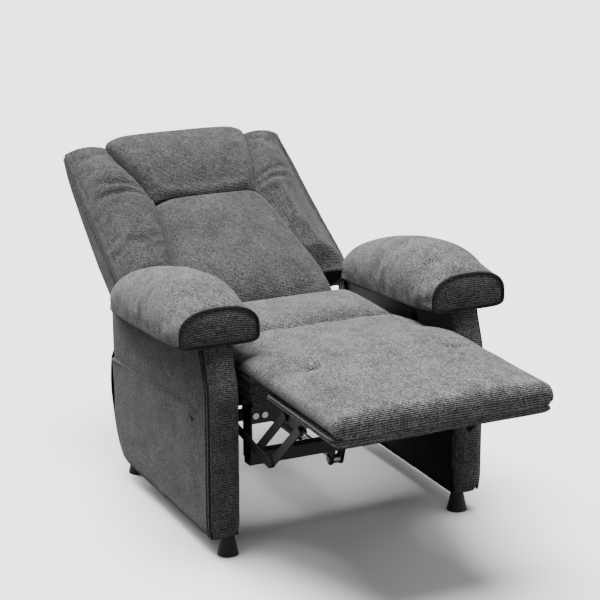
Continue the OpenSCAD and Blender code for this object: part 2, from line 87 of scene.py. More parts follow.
def smooth(t: float) -> float:
    """Eases 0 to 1 and stays flat outside.

    Args:
        t: the place between 0 and 1.

    Returns:
        The eased value.
    """
    t = min(1.0, max(0.0, t))
    return t * t * (3 - 2 * t)


def follow(table: Table, t: float) -> float:
    """Reads a smooth curve through a few points.

    Args:
        table: pairs of place and value, with the places rising.
        t: the place to read.

    Returns:
        The value, held flat beyond both ends.
    """
    if t <= table[0][0]:
        return table[0][1]
    if t >= table[-1][0]:
        return table[-1][1]
    k = max(i for i in range(len(table) - 1) if table[i][0] <= t)
    (t0, a), (t1, b) = table[k], table[k + 1]
    before = table[max(k - 1, 0)]
    after = table[min(k + 2, len(table) - 1)]
    slope_a = (b - before[1]) / (t1 - before[0])
    slope_b = (after[1] - a) / (after[0] - t0)
    s, span = (t - t0) / (t1 - t0), t1 - t0
    return ((2 * s**3 - 3 * s**2 + 1) * a + (s**3 - 2 * s**2 + s) * span * slope_a
            + (3 * s**2 - 2 * s**3) * b + (s**3 - s**2) * span * slope_b)


def round_section(u: float, w: float, low: float, high: float) -> tuple[float, float]:
    """Rounds a point of the unit square into a section with soft corners.

    Args:
        u: the point across, -1 to 1.
        w: the point through the thickness, -1 to 1.
        low: how square the half below the middle is, 2 for a circle.
        high: how square the half above the middle is.

    Returns:
        The rounded point.
    """
    reach = max(abs(u), abs(w))
    if reach < 1e-9:
        return 0.0, 0.0
    turn = math.atan2(w, u)
    power = high if w > 0 else low
    radius = reach / (abs(math.cos(turn))**power + abs(math.sin(turn))**power)**(1 / power)
    return radius * math.cos(turn), radius * math.sin(turn)


def wrinkle(p: Vector, size: float, seed: float) -> float:
    """Gives a soft ridged noise for small folds.

    Args:
        p: the place.
        size: the usual distance between folds.
        seed: a number that sets one pattern apart from another.

    Returns:
        A value of about -1 to 1.
    """
    return noise.noise(p / size + Vector((seed, -seed, 2 * seed)))


# ---- the chair's main places ---------------------------------------------


@dataclass(frozen=True)
class Layout:
    """Places that every sub-assembly works from, read from the frame.

    Attributes:
        front: y of the arms' front.
        rear: y of the arms' rear.
        arm_in: x of an arm's inner face.
        arm_out: x of an arm's outer face.
        lift: z of the arms' bottom.
        arm_top: z of the arms' top at the front.
        arm_drop: fall of the arms' top from front to rear.
        pivot: the back's pivot on the chair's middle plane.
        fold: the footrest's fold on the chair's middle plane, not used.
        tilt: lean of the back from upright, in degrees.
    """

    front: float
    rear: float
    arm_in: float
    arm_out: float
    lift: float
    arm_top: float
    arm_drop: float
    pivot: Vector
    fold: Vector
    tilt: float = 58.0

    @classmethod
    def read(cls) -> "Layout":
        """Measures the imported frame.

        Returns:
            The chair's main places.
        """
        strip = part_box("arm_front_right")
        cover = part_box("side_cover_right")
        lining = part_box("inner_lining_right")
        places = {j["name"]: Vector(j["pos_m"]) for j in frame["joints"] if j["type"] == "hinge"}
        return cls(front=strip[0].y, rear=cover[1].y, arm_in=lining[0].x, arm_out=cover[1].x,
                   lift=cover[0].z, arm_top=cover[1].z + 0.0052, arm_drop=0.073,
                   pivot=places["recline"], fold=places["footrest_fold"])

    def under_pad(self, y: float) -> float:
        """Height of the arm's top edge at y, which slopes down to the rear."""
        return self.arm_top - self.arm_drop * (y - self.front) / (self.rear - self.front)

    @property
    def on_back(self) -> Matrix:
        """Places the back's own frame: z up the back, y to its rear."""
        return Matrix.Translation(self.pivot) @ Matrix.Rotation(math.radians(-self.tilt), 4, "X")


# ---- finishes ------------------------------------------------------------


class NodeKit:
    """Short calls for building a node tree."""

    def __init__(self, tree: NodeTree) -> None:
        """Keeps the tree and empties it."""
        self.tree = tree
        tree.nodes.clear()

    def add(self, kind: str, **settings: object) -> bpy.types.Node:
        """Adds one node.

        Args:
            kind: the node's class name without ShaderNode.
            **settings: node properties, or socket values under in_NAME or in_INDEX.

        Returns:
            The new node.
        """
        node = self.tree.nodes.new(kind if kind.startswith("Node") else "ShaderNode" + kind)
        for key, value in settings.items():
            if not key.startswith("in_"):
                setattr(node, key, value)
        for key, value in settings.items():
            if key.startswith("in_"):
                name = key[3:]
                socket = node.inputs[int(name) if name.isdigit() else name.replace("_", " ")]
                if isinstance(value, bpy.types.NodeSocket):
                    self.tree.links.new(value, socket)
                else:
                    socket.default_value = value
        return node

    def math(self, operation: str, *values: object, clamp: bool = False) -> bpy.types.NodeSocket:
        """Adds a Math node.

        Args:
            operation: the node's operation.
            *values: up to three sockets or numbers.
            clamp: whether the result is held between 0 and 1.

        Returns:
            The result socket.
        """
        node = self.add("Math", operation=operation, use_clamp=clamp,
                        **{f"in_{i}": v for i, v in enumerate(values)})
        return node.outputs[0]

    def remap(self, value: object, low: float, high: float, to_low: float,
              to_high: float) -> bpy.types.NodeSocket:
        """Maps a range of values onto another with an eased curve."""
        node = self.add("MapRange", interpolation_type="SMOOTHSTEP", in_0=value,
                        in_1=low, in_2=high, in_3=to_low, in_4=to_high)
        return node.outputs[0]

    def mix(self, share: object, a: object, b: object) -> bpy.types.NodeSocket:
        """Mixes two colours."""
        node = self.add("Mix", data_type="RGBA")
        for socket, value in ((node.inputs[0], share), (node.inputs[6], a), (node.inputs[7], b)):
            if isinstance(value, bpy.types.NodeSocket):
                self.tree.links.new(value, socket)
            else:
                socket.default_value = value
        return node.outputs[2]


def new_group(name: str, inputs: Iterable[tuple[str, float]],
              outputs: Iterable[str]) -> tuple[NodeKit, bpy.types.Node, bpy.types.Node]:
    """Starts a shader node group.

    Args:
        name: the group's name.
        inputs: name and default of each number that a material sets.
        outputs: name of each number that the group gives.
    """
    tree = bpy.data.node_groups.new(name, "ShaderNodeTree")
    for label, value in inputs:
        tree.interface.new_socket(label, in_out="INPUT",
                                  socket_type="NodeSocketFloat").default_value = value
    for label in outputs:
        tree.interface.new_socket(label, in_out="OUTPUT", socket_type="NodeSocketFloat")
    kit = NodeKit(tree)
    return kit, kit.add("NodeGroupInput"), kit.add("NodeGroupOutput")


def weave_group() -> NodeTree:
    """Makes the ribbed chenille weave: ribs across every face, crossed by finer picks.

    Returns:
        The node group, with Height between 0 and 1, and Shade between 0 and 1, which is painted shade in the
        grooves between the threads.
    """
    kit, given, result = new_group("chenille_weave", [("Rib", 0.0040), ("Pick", 0.0034)],
                                   ["Height", "Shade"])
    place = kit.add("TexCoord").outputs["Object"]
    wobble = kit.add("TexNoise", in_Vector=place, in_Scale=38.0, in_Detail=2.0).outputs["Fac"]
    axis = kit.add("SeparateXYZ", in_0=place)
    normal = kit.add("SeparateXYZ", in_0=kit.add("NewGeometry").outputs["Normal"])
    x, y, z = axis.outputs
    rise = kit.math("MULTIPLY", kit.math("ADD", y, z), 0.7071)
    fall = kit.math("MULTIPLY", kit.math("SUBTRACT", y, z), 0.7071)
    sideways = kit.remap(kit.math("ABSOLUTE", normal.outputs[0]), 0.62, 0.78, 0.0, 1.0)
    across = kit.add("Mix", data_type="FLOAT", in_0=sideways, in_2=x, in_3=fall).outputs[0]
    shaken = kit.math("MULTIPLY", wobble, 5.0)

    def wave(place_socket: object, step: object) -> bpy.types.NodeSocket:
        """One set of threads, 0 between them and 1 on top."""
        turns = kit.math("MULTIPLY", kit.math("DIVIDE", place_socket, step), 2 * math.pi)
        swing = kit.math("SINE", kit.math("ADD", turns, shaken))
        return kit.math("MULTIPLY_ADD", swing, 0.5, 0.5)

    facing = kit.math("ABSOLUTE", kit.math("ADD", normal.outputs[1], normal.outputs[2]))
    turned = kit.remap(facing, 1.18, 1.28, 0.0, 1.0)
    along = kit.add("Mix", data_type="FLOAT", in_0=turned, in_2=rise, in_3=fall).outputs[0]
    ribs = wave(along, given.outputs["Rib"])
    picks = wave(across, given.outputs["Pick"])
    fuzz = kit.add("TexNoise", in_Vector=place, in_Scale=270.0, in_Detail=3.0,
                   in_Roughness=0.65).outputs["Fac"]
    tufted = kit.remap(fuzz, 0.34, 0.66, 0.0, 1.0)
    crossed = kit.math("MULTIPLY", kit.math("MULTIPLY", ribs, picks), 0.42)
    woven = kit.math("MULTIPLY_ADD", ribs, 0.22, crossed)
    height = kit.math("MULTIPLY_ADD", tufted, 0.42, woven, clamp=True)
    kit.tree.links.new(height, result.inputs["Height"])
    # Shade follows the weave's height: painted shade in the grooves between the threads.
    kit.tree.links.new(kit.remap(height, 0.08, 0.85, 0.0, 1.0), result.inputs["Shade"])
    return kit.tree


def nap_sheen_group() -> NodeTree:
    """Makes the brushed patches of a pile that lies one way here and another there: random patches, made lighter
    as painted sheen where the pile would catch the light.

    Returns:
        The node group, with its output between 0, no painted sheen, and 1, full painted sheen.
    """
    kit, given, result = new_group("brushed_nap_sheen", [("Size", 1.0)], ["Nap"])
    place = kit.add("TexCoord").outputs["Object"]
    sized = kit.add("VectorMath", operation="SCALE", in_0=place,
                    in_Scale=given.outputs["Size"]).outputs[0]
    stretched = kit.add("Mapping", in_Vector=sized, in_Scale=(1.0, 0.7, 0.9),
                        in_Rotation=(0.3, 0.2, 0.5)).outputs[0]
    broad = kit.add("TexNoise", in_Vector=stretched, in_Scale=17.0, in_Detail=4.0,
                    in_Roughness=0.62, in_Distortion=0.6)
    small = kit.add("TexNoise", in_Vector=sized, in_Scale=75.0, in_Detail=3.0, in_Roughness=0.6)
    grain = kit.add("TexNoise", in_Vector=place, in_Scale=260.0, in_Detail=2.0)
    both = kit.math("ADD", kit.math("MULTIPLY", broad.outputs["Fac"], 0.40),
                    kit.math("MULTIPLY", small.outputs["Fac"], 0.34))
    mixed = kit.math("MULTIPLY_ADD", grain.outputs["Fac"], 0.26, both)
    kit.tree.links.new(kit.remap(mixed, 0.34, 0.66, 0.0, 1.0), result.inputs["Nap"])
    return kit.tree


def wear_group() -> NodeTree:
    """Makes fine mottling with a rub of wear, for paint, plastic and zinc.

    Returns:
        The node group, with Grain and Rub between 0 and 1.
    """
    kit, given, result = new_group("fine_wear", [("Scale", 300.0)], ["Grain", "Rub"])
    place = kit.add("TexCoord").outputs["Object"]
    grain = kit.add("TexNoise", in_Vector=place, in_Scale=given.outputs["Scale"], in_Detail=3.0)
    smear = kit.add("TexNoise", in_Vector=place, in_Scale=26.0, in_Detail=5.0, in_Roughness=0.7)
    kit.tree.links.new(grain.outputs["Fac"], result.inputs["Grain"])
    kit.tree.links.new(kit.remap(smear.outputs["Fac"], 0.5, 0.72, 0.0, 1.0), result.inputs["Rub"])
    return kit.tree


class Effects:
    """The node groups that several finishes share, each built once."""

    def __init__(self) -> None:
        """Builds the groups."""
        self.weave = weave_group()
        self.nap = nap_sheen_group()
        self.wear = wear_group()


def start_material(name: str) -> tuple[bpy.types.Material, NodeKit, bpy.types.Node]:
    """Starts a material with one Principled shader.

    Args:
        name: the material's name.

    Returns:
        The material, its node kit and the shader.
    """
    material = bpy.data.materials.new(name)
    material.use_nodes = True
    kit = NodeKit(material.node_tree)
    shader = kit.add("BsdfPrincipled")
    kit.add("OutputMaterial", in_Surface=shader.outputs[0])
    return material, kit, shader


@dataclass(frozen=True)
class Chenille:
    """A ribbed chenille with a brushed pile.

    Attributes:
        name: the material's name.
        dark: colour where the pile lies away, without painted sheen.
        light: colour where the pile catches the light, a painted sheen.
        contrast: how far the painted sheen patches go, 0 to 1.
        depth: height of the ribs.
        nap_size: scale of the patches of painted sheen.
        sheen: strength of the pile's sheen.
    """

    name: str
    dark: tuple[float, float, float, float]
    light: tuple[float, float, float, float]
    contrast: float = 0.8
    depth: float = 0.0016
    nap_size: float = 1.0
    sheen: float = 0.12

    def build(self, effects: Effects) -> bpy.types.Material:
        """Builds the material from the shared weave and nap, with painted sheen patches and painted shade in the
        weave's grooves.
        """
        material, kit, shader = start_material(self.name)
        weave = kit.add("Group", node_tree=effects.weave)
        nap = kit.add("Group", node_tree=effects.nap, in_Size=self.nap_size)
        # Painted sheen: the colour goes from dark to light over the nap patches, as if they caught the light.
        share = kit.math("MULTIPLY", nap.outputs["Nap"], self.contrast)
        pile_with_sheen = kit.mix(share, self.dark, self.light)
        # Painted shade and light of the weave: the colour is scaled from 0.08 times in the grooves to 1.62 times
        # on the raised threads.
        weave_painted_shade = kit.remap(weave.outputs["Shade"], 0.0, 1.0, 0.08, 1.62)
        colour = kit.add("VectorMath", operation="SCALE", in_0=pile_with_sheen, in_Scale=weave_painted_shade).outputs[0]
        bump = kit.add("Bump", in_Strength=1.0, in_Distance=self.depth,
                       in_Height=weave.outputs["Height"])
        kit.tree.links.new(colour, shader.inputs["Base Color"])
        kit.tree.links.new(bump.outputs[0], shader.inputs["Normal"])
        shader.inputs["Roughness"].default_value = 0.92
        shader.inputs["Specular IOR Level"].default_value = 0.25
        shader.inputs["Sheen Weight"].default_value = self.sheen
        shader.inputs["Sheen Roughness"].default_value = 0.45
        return material


@dataclass(frozen=True)
class HardFinish:
    """Paint, plastic, zinc or wood.

    Attributes:
        name: the material's name.
        colour: its plain colour.
        worn: its colour where it is rubbed.
        rough: roughness where it is untouched.
        metal: metallic share.
        grain: scale of the fine grain.
        depth: height of the grain.
    """

    name: str
    colour: tuple[float, float, float, float]
    worn: tuple[float, float, float, float]
    rough: float
    metal: float = 0.0
    grain: float = 900.0
    depth: float = 0.0001

    def build(self, effects: Effects) -> bpy.types.Material:
        """Builds the material from the shared wear."""
        material, kit, shader = start_material(self.name)
        wear = kit.add("Group", node_tree=effects.wear, in_Scale=self.grain)
        colour = kit.mix(kit.math("MULTIPLY", wear.outputs["Rub"], 0.5), self.colour, self.worn)
        rough = kit.math("MULTIPLY_ADD", wear.outputs["Grain"], 0.16, self.rough - 0.08)
        bump = kit.add("Bump", in_Strength=0.5, in_Distance=self.depth,
                       in_Height=wear.outputs["Grain"])
        kit.tree.links.new(colour, shader.inputs["Base Color"])
        kit.tree.links.new(rough, shader.inputs["Roughness"])
        kit.tree.links.new(bump.outputs[0], shader.inputs["Normal"])
        shader.inputs["Metallic"].default_value = self.metal
        return material


class Wardrobe:
    """Every finish of the chair, built once."""

    def __init__(self) -> None:
        """Builds the finishes."""
        effects = Effects()
        # One fabric at four tones: the pad's lighter tone is for the tops, and the back, panel and strip copies
        # below are darker by painted shade, for faces turned from the light.
        self.pad = Chenille("pad_chenille", (0.060, 0.060, 0.063, 1), (0.205, 0.205, 0.210, 1),
                            nap_size=1.2).build(effects)
        # Darker copy of the pad fabric: painted shade for the back's cushions and wings.
        self.back = Chenille("back_chenille_painted_shade", (0.032, 0.032, 0.034, 1), (0.106, 0.106, 0.109, 1),
                             nap_size=1.2).build(effects)
        # Darker copy of the pad fabric: painted shade for the sides and the rear cover.
        self.panel = Chenille("panel_chenille_painted_shade", (0.048, 0.048, 0.051, 1), (0.135, 0.135, 0.139, 1),
                              contrast=0.75, nap_size=1.3).build(effects)
        # Darker copy of the pad fabric: painted shade for the front strips, faces and undersides.
        self.strip = Chenille("strip_chenille_painted_shade", (0.068, 0.068, 0.071, 1), (0.145, 0.145, 0.150, 1),
                              contrast=0.6, sheen=0.1, depth=0.0015).build(effects)
        self.piping = Chenille("piping_chenille", (0.014, 0.014, 0.016, 1),
                               (0.034, 0.034, 0.037, 1),
                               sheen=0.25, depth=0.0007).build(effects)
        self.lining = Chenille("black_lining", (0.006, 0.006, 0.007, 1), (0.012, 0.012, 0.013, 1),
                               sheen=0.05, depth=0.0004).build(effects)
        self.steel = HardFinish("black_powder_coat", (0.012, 0.012, 0.013, 1),
                                (0.03, 0.03, 0.032, 1),
                                0.42, grain=1400.0).build(effects)
        self.zinc = HardFinish("bright_zinc", (0.62, 0.62, 0.63, 1), (0.42, 0.42, 0.42, 1), 0.3,
                               metal=1.0).build(effects)
        self.wire = HardFinish("spring_wire", (0.3, 0.3, 0.3, 1), (0.16, 0.15, 0.14, 1), 0.4,
                               metal=1.0).build(effects)
        self.plastic = HardFinish("black_plastic", (0.011, 0.011, 0.012, 1), (0.02, 0.02, 0.021, 1),
                                  0.5, grain=700.0, depth=0.0002).build(effects)
        self.button = HardFinish("grey_button", (0.16, 0.16, 0.17, 1), (0.22, 0.22, 0.23, 1),
                                 0.45).build(effects)
        self.wood = HardFinish("raw_pine", (0.50, 0.34, 0.19, 1), (0.36, 0.23, 0.12, 1), 0.7,
                               grain=180.0,
                               depth=0.0003).build(effects)


# ---- making pieces -------------------------------------------------------


def finish_mesh(mesh: bmesh.types.BMesh, name: str, smooth_faces: bool = True) -> bpy.types.Object:
    """Turns a bmesh into a piece of the scene.

    Args:
        mesh: the bmesh, which is freed.
        name: the piece's name.
        smooth_faces: whether the faces are shaded smooth.

    Returns:
        The new object.
    """
    bmesh.ops.recalc_face_normals(mesh, faces=mesh.faces)
    data = bpy.data.meshes.new(name)
    mesh.to_mesh(data)
    mesh.free()
    for face in data.polygons:
        face.use_smooth = smooth_faces
    piece = bpy.data.objects.new(name, data)
    bpy.context.scene.collection.objects.link(piece)
    return piece


def block(name: str, cuts: tuple[int, int, int], shape: Shape) -> bpy.types.Object:
    """Shapes a closed form from a finely cut cube.

    Args:
        name: the piece's name.
        cuts: the number of cells along the cube's three axes.
        shape: gives the place of each point of the cube, which runs from -1 to 1.

    Returns:
        The new object.
    """
    mesh = bmesh.new()
    bmesh.ops.create_cube(mesh, size=2.0)
    for axis, count in enumerate(cuts):
        along = [e for e in mesh.edges
                 if abs((e.verts[0].co - e.verts[1].co)[axis]) > 0.9 * e.calc_length()]
        bmesh.ops.subdivide_edges(mesh, edges=along, cuts=count - 1, use_grid_fill=True)
    for vert in mesh.verts:
        vert.co = shape(*vert.co)
    return finish_mesh(mesh, name)


def soften(piece: bpy.types.Object) -> None:
    """Adds one level of subdivision."""
    modifier = piece.modifiers.new("soften", "SUBSURF")
    modifier.levels = modifier.render_levels = 1


def read_points(data: bpy.types.Mesh) -> np.ndarray:
    """Gives a mesh's vertices as rows of three numbers."""
    points = np.zeros(len(data.vertices) * 3)
    data.vertices.foreach_get("co", points)
    return points.reshape(-1, 3)


def write_points(data: bpy.types.Mesh, points: np.ndarray) -> None:
    """Puts rows of three numbers back as a mesh's vertices."""
    data.vertices.foreach_set("co", points.ravel())
    data.update()


CLOTH_SETTINGS = {
    "quality": 5, "mass": 0.25, "tension_stiffness": 12.0, "compression_stiffness": 12.0,
    "shear_stiffness": 6.0, "vertex_group_mass": "seam", "use_pressure": True,
}


@dataclass(frozen=True)
class Stuffing:
    """How a cover swells over its filling.

    Attributes:
        pressure: push of the filling.
        slack: extra cloth, as a share, which gathers at the seams.
        reach: the farthest that a point may move.
        frames: steps of the simulation.
        stiff: resistance of the cloth to bending.
    """

    pressure: float = 3.0
    slack: float = 0.03
    reach: float = 0.016
    frames: int = 16
    stiff: float = 0.6

    def swell(self, piece: bpy.types.Object, held: Callable[[int], bool]) -> None:
        """Simulates the cover as cloth that is held at its seams, and keeps the result.

        Args:
            piece: the closed mesh.
            held: tells whether a vertex, by its number, is sewn down.
        """
        scene = bpy.context.scene
        seam = piece.vertex_groups.new(name="seam")
        seam.add([v.index for v in piece.data.vertices if held(v.index)], 1.0, "REPLACE")
        cloth = piece.modifiers.new("cover", "CLOTH")
        for key, value in CLOTH_SETTINGS.items():
            setattr(cloth.settings, key, value)
        cloth.settings.bending_stiffness = self.stiff
        cloth.settings.uniform_pressure_force = self.pressure
        cloth.settings.shrink_min = -self.slack
        cloth.settings.effector_weights.gravity = 0.0
        cloth.collision_settings.use_collision = False
        cloth.point_cache.frame_start = 1
        cloth.point_cache.frame_end = self.frames
        for step in range(1, self.frames + 1):
            scene.frame_set(step)
        start = read_points(piece.data)
        moved = read_points(piece.evaluated_get(bpy.context.evaluated_depsgraph_get()).data) - start
        far = np.linalg.norm(moved, axis=1, keepdims=True)
        moved *= self.reach * np.tanh(far / self.reach) / np.maximum(far, 1e-9)
        piece.modifiers.remove(cloth)
        piece.vertex_groups.remove(seam)
        write_points(piece.data, start + moved)
        scene.frame_set(1)


def cord_round(name: str, path: Sequence[Vector], radius: float,
               closed: bool = False) -> bpy.types.Object:
    """Makes a welt or wire: a round cord along a path.

    Args:
        name: the piece's name.
        path: the points of its middle line.
        radius: the cord's radius.
        closed: whether the path joins up.

    Returns:
        The cord as a mesh object.
    """
    curve = bpy.data.curves.new(name, "CURVE")
    curve.dimensions = "3D"
    curve.bevel_depth = radius
    curve.bevel_resolution = 3
    curve.use_fill_caps = not closed
    line = curve.splines.new("POLY")
    line.points.add(len(path) - 1)
    for point, place in zip(line.points, path):
        point.co = (*place, 1.0)
    line.use_cyclic_u = closed
    holder = bpy.data.objects.new(name + "_path", curve)
    bpy.context.scene.collection.objects.link(holder)
    mesh = bmesh.new()
    shaped = holder.evaluated_get(bpy.context.evaluated_depsgraph_get())
    mesh.from_mesh(bpy.data.meshes.new_from_object(shaped))
    bmesh.ops.remove_doubles(mesh, verts=mesh.verts, dist=1e-6)
    bpy.data.objects.remove(holder)
    return finish_mesh(mesh, name)


@dataclass
class Piece:
    """What the frame has to know of a finished piece.

    Attributes:
        item: the object.
        body: the CAD body that it rides on.
        slot: the record's material slot, not used.
        material: its finish.
        replaces: CAD nodes that it stands for.
        fill: how tight a padded piece is, or None; not used.
    """

    item: bpy.types.Object
    body: str
    slot: str
    material: bpy.types.Material
    replaces: tuple[str, ...] = ()
    fill: float | None = None

    def register(self, ride: bool = True) -> bpy.types.Object:
        """Dresses the piece and tells the frame about it.

        Args:
            ride: whether it rides on its body; when it doesn't, it is left unattached.

        Returns:
            The object.
        """
        self.item.data.materials.clear()
        self.item.data.materials.append(self.material)
        if ride:
            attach(self.item, self.body)
        if self.replaces:
            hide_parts(*self.replaces)
        LOG.info("%s: %d faces on %s", self.item.name, len(self.item.data.polygons), self.body)
        return self.item


def upholster(name: str, cuts: tuple[int, int, int], shape: Shape, body: str, slot: str,
              material: bpy.types.Material, replaces: tuple[str, ...] = (),
              fill: float = 0.3) -> None:
    """Makes and registers a covered piece that is shaped without a simulation.

    Args:
        name: the piece's name.
        cuts: the number of cells along the cube's three axes.
        shape: gives the place of each point of the cube.
        body: the CAD body that it rides on.
        slot: the record's material slot.
        material: its finish.
        replaces: CAD nodes that it stands for.
        fill: how tight it is.
    """
    piece = block(name, cuts, shape)
    soften(piece)
    Piece(piece, body, slot, material, replaces, fill).register()


def pipe(name: str, path: Sequence[Vector], radius: float, body: str, slot: str,
         material: bpy.types.Material, closed: bool = False) -> None:
    """Makes and registers a welt or a row of stitches.

    Args:
        name: the piece's name.
        path: the points of its middle line.
        radius: the cord's radius.
        body: the CAD body that it rides on.
        slot: the record's material slot.
        material: its finish.
        closed: whether the path joins up.
    """
    Piece(cord_round(name, path, radius, closed), body, slot, material).register()


# ---- arms ----------------------------------------------------------------


@dataclass
class Arm:
    """One arm: padded top, upholstered side, front strip, lining and welts.

    Attributes:
        layout: the chair's main places.
        cloth: the finishes.
        side: which arm.
        pad_half: half of the pad's width.
        pad_setback: distance of the pad's face behind the arm's front.
        pad_length: the pad's length.
        corner: radius of the side's lower rear corner.
        strip: thickness of the front strip.
        lean: how far the front edge curves back at the top.
        welt: radius of the piping.
        pocket: height of the pocket's opening at the rear, above the arm's bottom.
        pocket_slope: rise of the opening for each metre towards the front.
        tuck: how far the front draws in on each side at its lower end.
        tuck_reach: height over which it draws in.
    """

    layout: Layout
    cloth: Wardrobe
    side: Side
    pad_half: float = 0.096
    pad_setback: float = 0.025
    pad_length: float = 0.578
    corner: float = 0.115
    strip: float = 0.020
    lean: float = 0.036
    welt: float = 0.0036
    pocket: float = 0.261
    pocket_slope: float = 0.075
    tuck: float = 0.006
    tuck_reach: float = 0.050

    @property
    def sign(self) -> int:
        """The side's sign along X."""
        return self.side.value

    @property
    def middle(self) -> float:
        """The pad's distance from the chair's middle."""
        return (self.layout.arm_in + self.layout.arm_out) / 2 + 0.003

    def build(self) -> None:
        """Builds every piece of the arm."""
        self.pad()
        self.side_panel()
        self.front_strip()
        self.lining()

    def pad_shape(self, u: float, v: float, w: float) -> Vector:
        """Places a point of the arm pad, a long roll with a flat underside.

        Args:
            u: across the pad, -1 to 1.
            v: from the face at the front, -1, to the rear, 1.
            w: from the underside, -1, to the crown, 1.

        Returns:
            The point in the chair's frame.
        """
        t = (v + 1) / 2
        across, up = round_section(u, w, 7.0, 2.45)
        end = math.sqrt(max(0.0, 1 - (max(0.0, t - 0.80) / 0.20)**2.4))
        widths = [(0, self.pad_half), (0.18, 0.098), (0.45, 0.090), (0.75, 0.074), (1, 0.060)]
        half = follow(widths, t) * (0.62 + 0.38 * end)
        height = follow([(0, 0.087), (0.10, 0.118), (0.2, 0.142), (0.34, 0.150), (0.55, 0.142),
                         (0.75, 0.124), (0.9, 0.102), (1.0, 0.080)], t) * (0.70 + 0.30 * end)
        y = self.layout.front + self.pad_setback + t * self.pad_length
        radial = min(1.0, max(abs(u), abs(w)))
        if v < -0.999:
            y -= 0.007 * (1 - radial**2)
        if v > 0.999:
            y += 0.012 * (1 - radial**2)
        under = self.layout.under_pad(y) + 0.003 + 0.007 * smooth((0.16 - t) / 0.16)
        middle = under + 0.36 * height
        z = middle + up * (0.64 if up > 0 else 0.36) * height
        return Vector((self.sign * (self.middle + across * half), y, z))

    def pad(self) -> None:
        """Makes the arm pad, its face and its welt."""
        cuts = (22, 52, 16)
        piece = block(f"arm_pad_cover_{self.side.word}", cuts, self.pad_shape)
        face_y = self.layout.front + self.pad_setback + 0.004
        rest = read_points(piece.data)
        under = np.array([self.layout.under_pad(y) + 0.012 for y in rest[:, 1]])
        held = (rest[:, 1] < face_y) | (rest[:, 2] < under)
        filling = Stuffing(pressure=4.0, slack=0.012, reach=0.010, stiff=1.5)
        filling.swell(piece, lambda i: bool(held[i]))
        points = read_points(piece.data)
        data = piece.data
        normals = np.zeros(len(points) * 3)
        data.vertices.foreach_get("normal", normals)
        normals = normals.reshape(-1, 3)
        for i, (p, n) in enumerate(zip(points, normals)):
            near = math.exp(-(p[1] - face_y) / 0.045) if p[1] > face_y else 0.0
            ripple = wrinkle(Vector((p[0] * 1.5, p[1] * 0.45, p[2] * 1.5)), 0.020, 3.1 * self.sign)
            points[i] += n * (0.0035 * near * ripple + 0.0012 * wrinkle(Vector(p), 0.07, 5.0))
        write_points(data, points)
        soften(piece)
        node = f"arm_pad_{self.side.word}"
        Piece(piece, "base", "pad_fabric", self.cloth.pad, (node,), 0.8).register()
        loop = []
        for k in range(72):
            turn = 2 * math.pi * k / 72
            u, w = math.cos(turn), math.sin(turn)
            big = max(abs(u), abs(w))
            loop.append(self.pad_shape(u / big, -1.0, w / big) + Vector((0, -0.001, 0)))
        pipe(f"arm_pad_welt_{self.side.word}", loop, self.welt + 0.0006, "base", "pad_fabric",
             self.cloth.piping, closed=True)
        upholster(f"arm_pad_face_{self.side.word}", (20, 1, 16), self.face_shape, "base",
                  "pad_fabric", self.cloth.strip, fill=0.7)

    def face_shape(self, u: float, v: float, w: float) -> Vector:
        """Places a point of the pad's front face, a thin cushion inside the welt, in the strip's copy of the
        fabric, which is darker by painted shade.
        """
        inner = self.pad_shape(u * 0.965, -0.9985, w * 0.965)
        radial = min(1.0, max(abs(u), abs(w)))
        bulge = 0.010 * (1 - radial**3) + 0.0015 * wrinkle(inner, 0.03, 7.0 * self.sign)
        inner.y = self.layout.front + self.pad_setback + (0.002 if v > 0 else -0.001 - bulge)
        return inner

    def front_y(self, z: float) -> float:
        """The arm's front at height z, which curves back at the top and bottom."""
        top = self.layout.arm_top
        return self.layout.front + self.lean * smooth((z - top + 0.12) / 0.15) / smooth(0.8)

    def rear_y(self, z: float) -> float:
        """The arm's rear at height z, round at the bottom."""
        low = self.layout.lift + self.corner - z
        if low <= 0:
            return self.layout.rear
        return self.layout.rear - self.corner + math.sqrt(max(0.0, self.corner**2 - low**2))

    def side_shape(self, u: float, v: float, w: float) -> Vector:
        """Places a point of the upholstered side, with the pocket's opening as a step.

        Args:
            u: from the front, -1, to the rear, 1.
            v: from the bottom, -1, to the top, 1.
            w: from the inner face, -1, to the outer face, 1.

        Returns:
            The point in the chair's frame.
        """
        lay = self.layout
        rows, line = 60, 38
        j = round((v + 1) / 2 * rows)
        s = (u + 1) / 2
        guess = lay.front + self.strip + s * (lay.rear - lay.front - self.strip)
        top = lay.under_pad(guess) + 0.006 * smooth((0.1 - s) / 0.1)
        mouth = self.mouth(guess)
        if j <= line:
            z = lay.lift + (mouth - lay.lift) * j / line
        else:
            z = mouth + 0.002 + (top - mouth - 0.002) * (j - line - 1) / (rows - line - 1)
        front = self.front_y(z) + self.strip * 0.8
        y = front + s * (self.rear_y(z) - front)
        fade = smooth((s - 0.10) / 0.05)
        edge = min(s, 1 - s) * 0.6
        rim = min(edge, (z - lay.lift), (top - z) * 3 + 0.02)
        roll = 0.006 * (1 - smooth(rim / 0.016))
        swell = 0.004 * smooth(rim / 0.12)
        below = (mouth - z) if j <= line else 0.0
        lip = 0.0042 * math.exp(-below / 0.06) * fade if j <= line else 0.0
        pinch = -0.0035 * math.exp(-(z - mouth) / 0.010) * fade if j > line else 0.0
        puff = 0.0016 * wrinkle(Vector((0, y, z)), 0.055, 2.0 * self.sign)
        draw = self.tuck_in(z) * smooth((0.10 - s) / 0.10)
        outer = lay.arm_out + 0.004 + swell + lip + pinch + puff - roll - draw
        x = outer if w > 0 else lay.arm_in + 0.004
        if -1 < w < 1:
            x = lay.arm_in + 0.004 + (outer - lay.arm_in - 0.004) * (w + 1) / 2
        return Vector((self.sign * x, y, z))

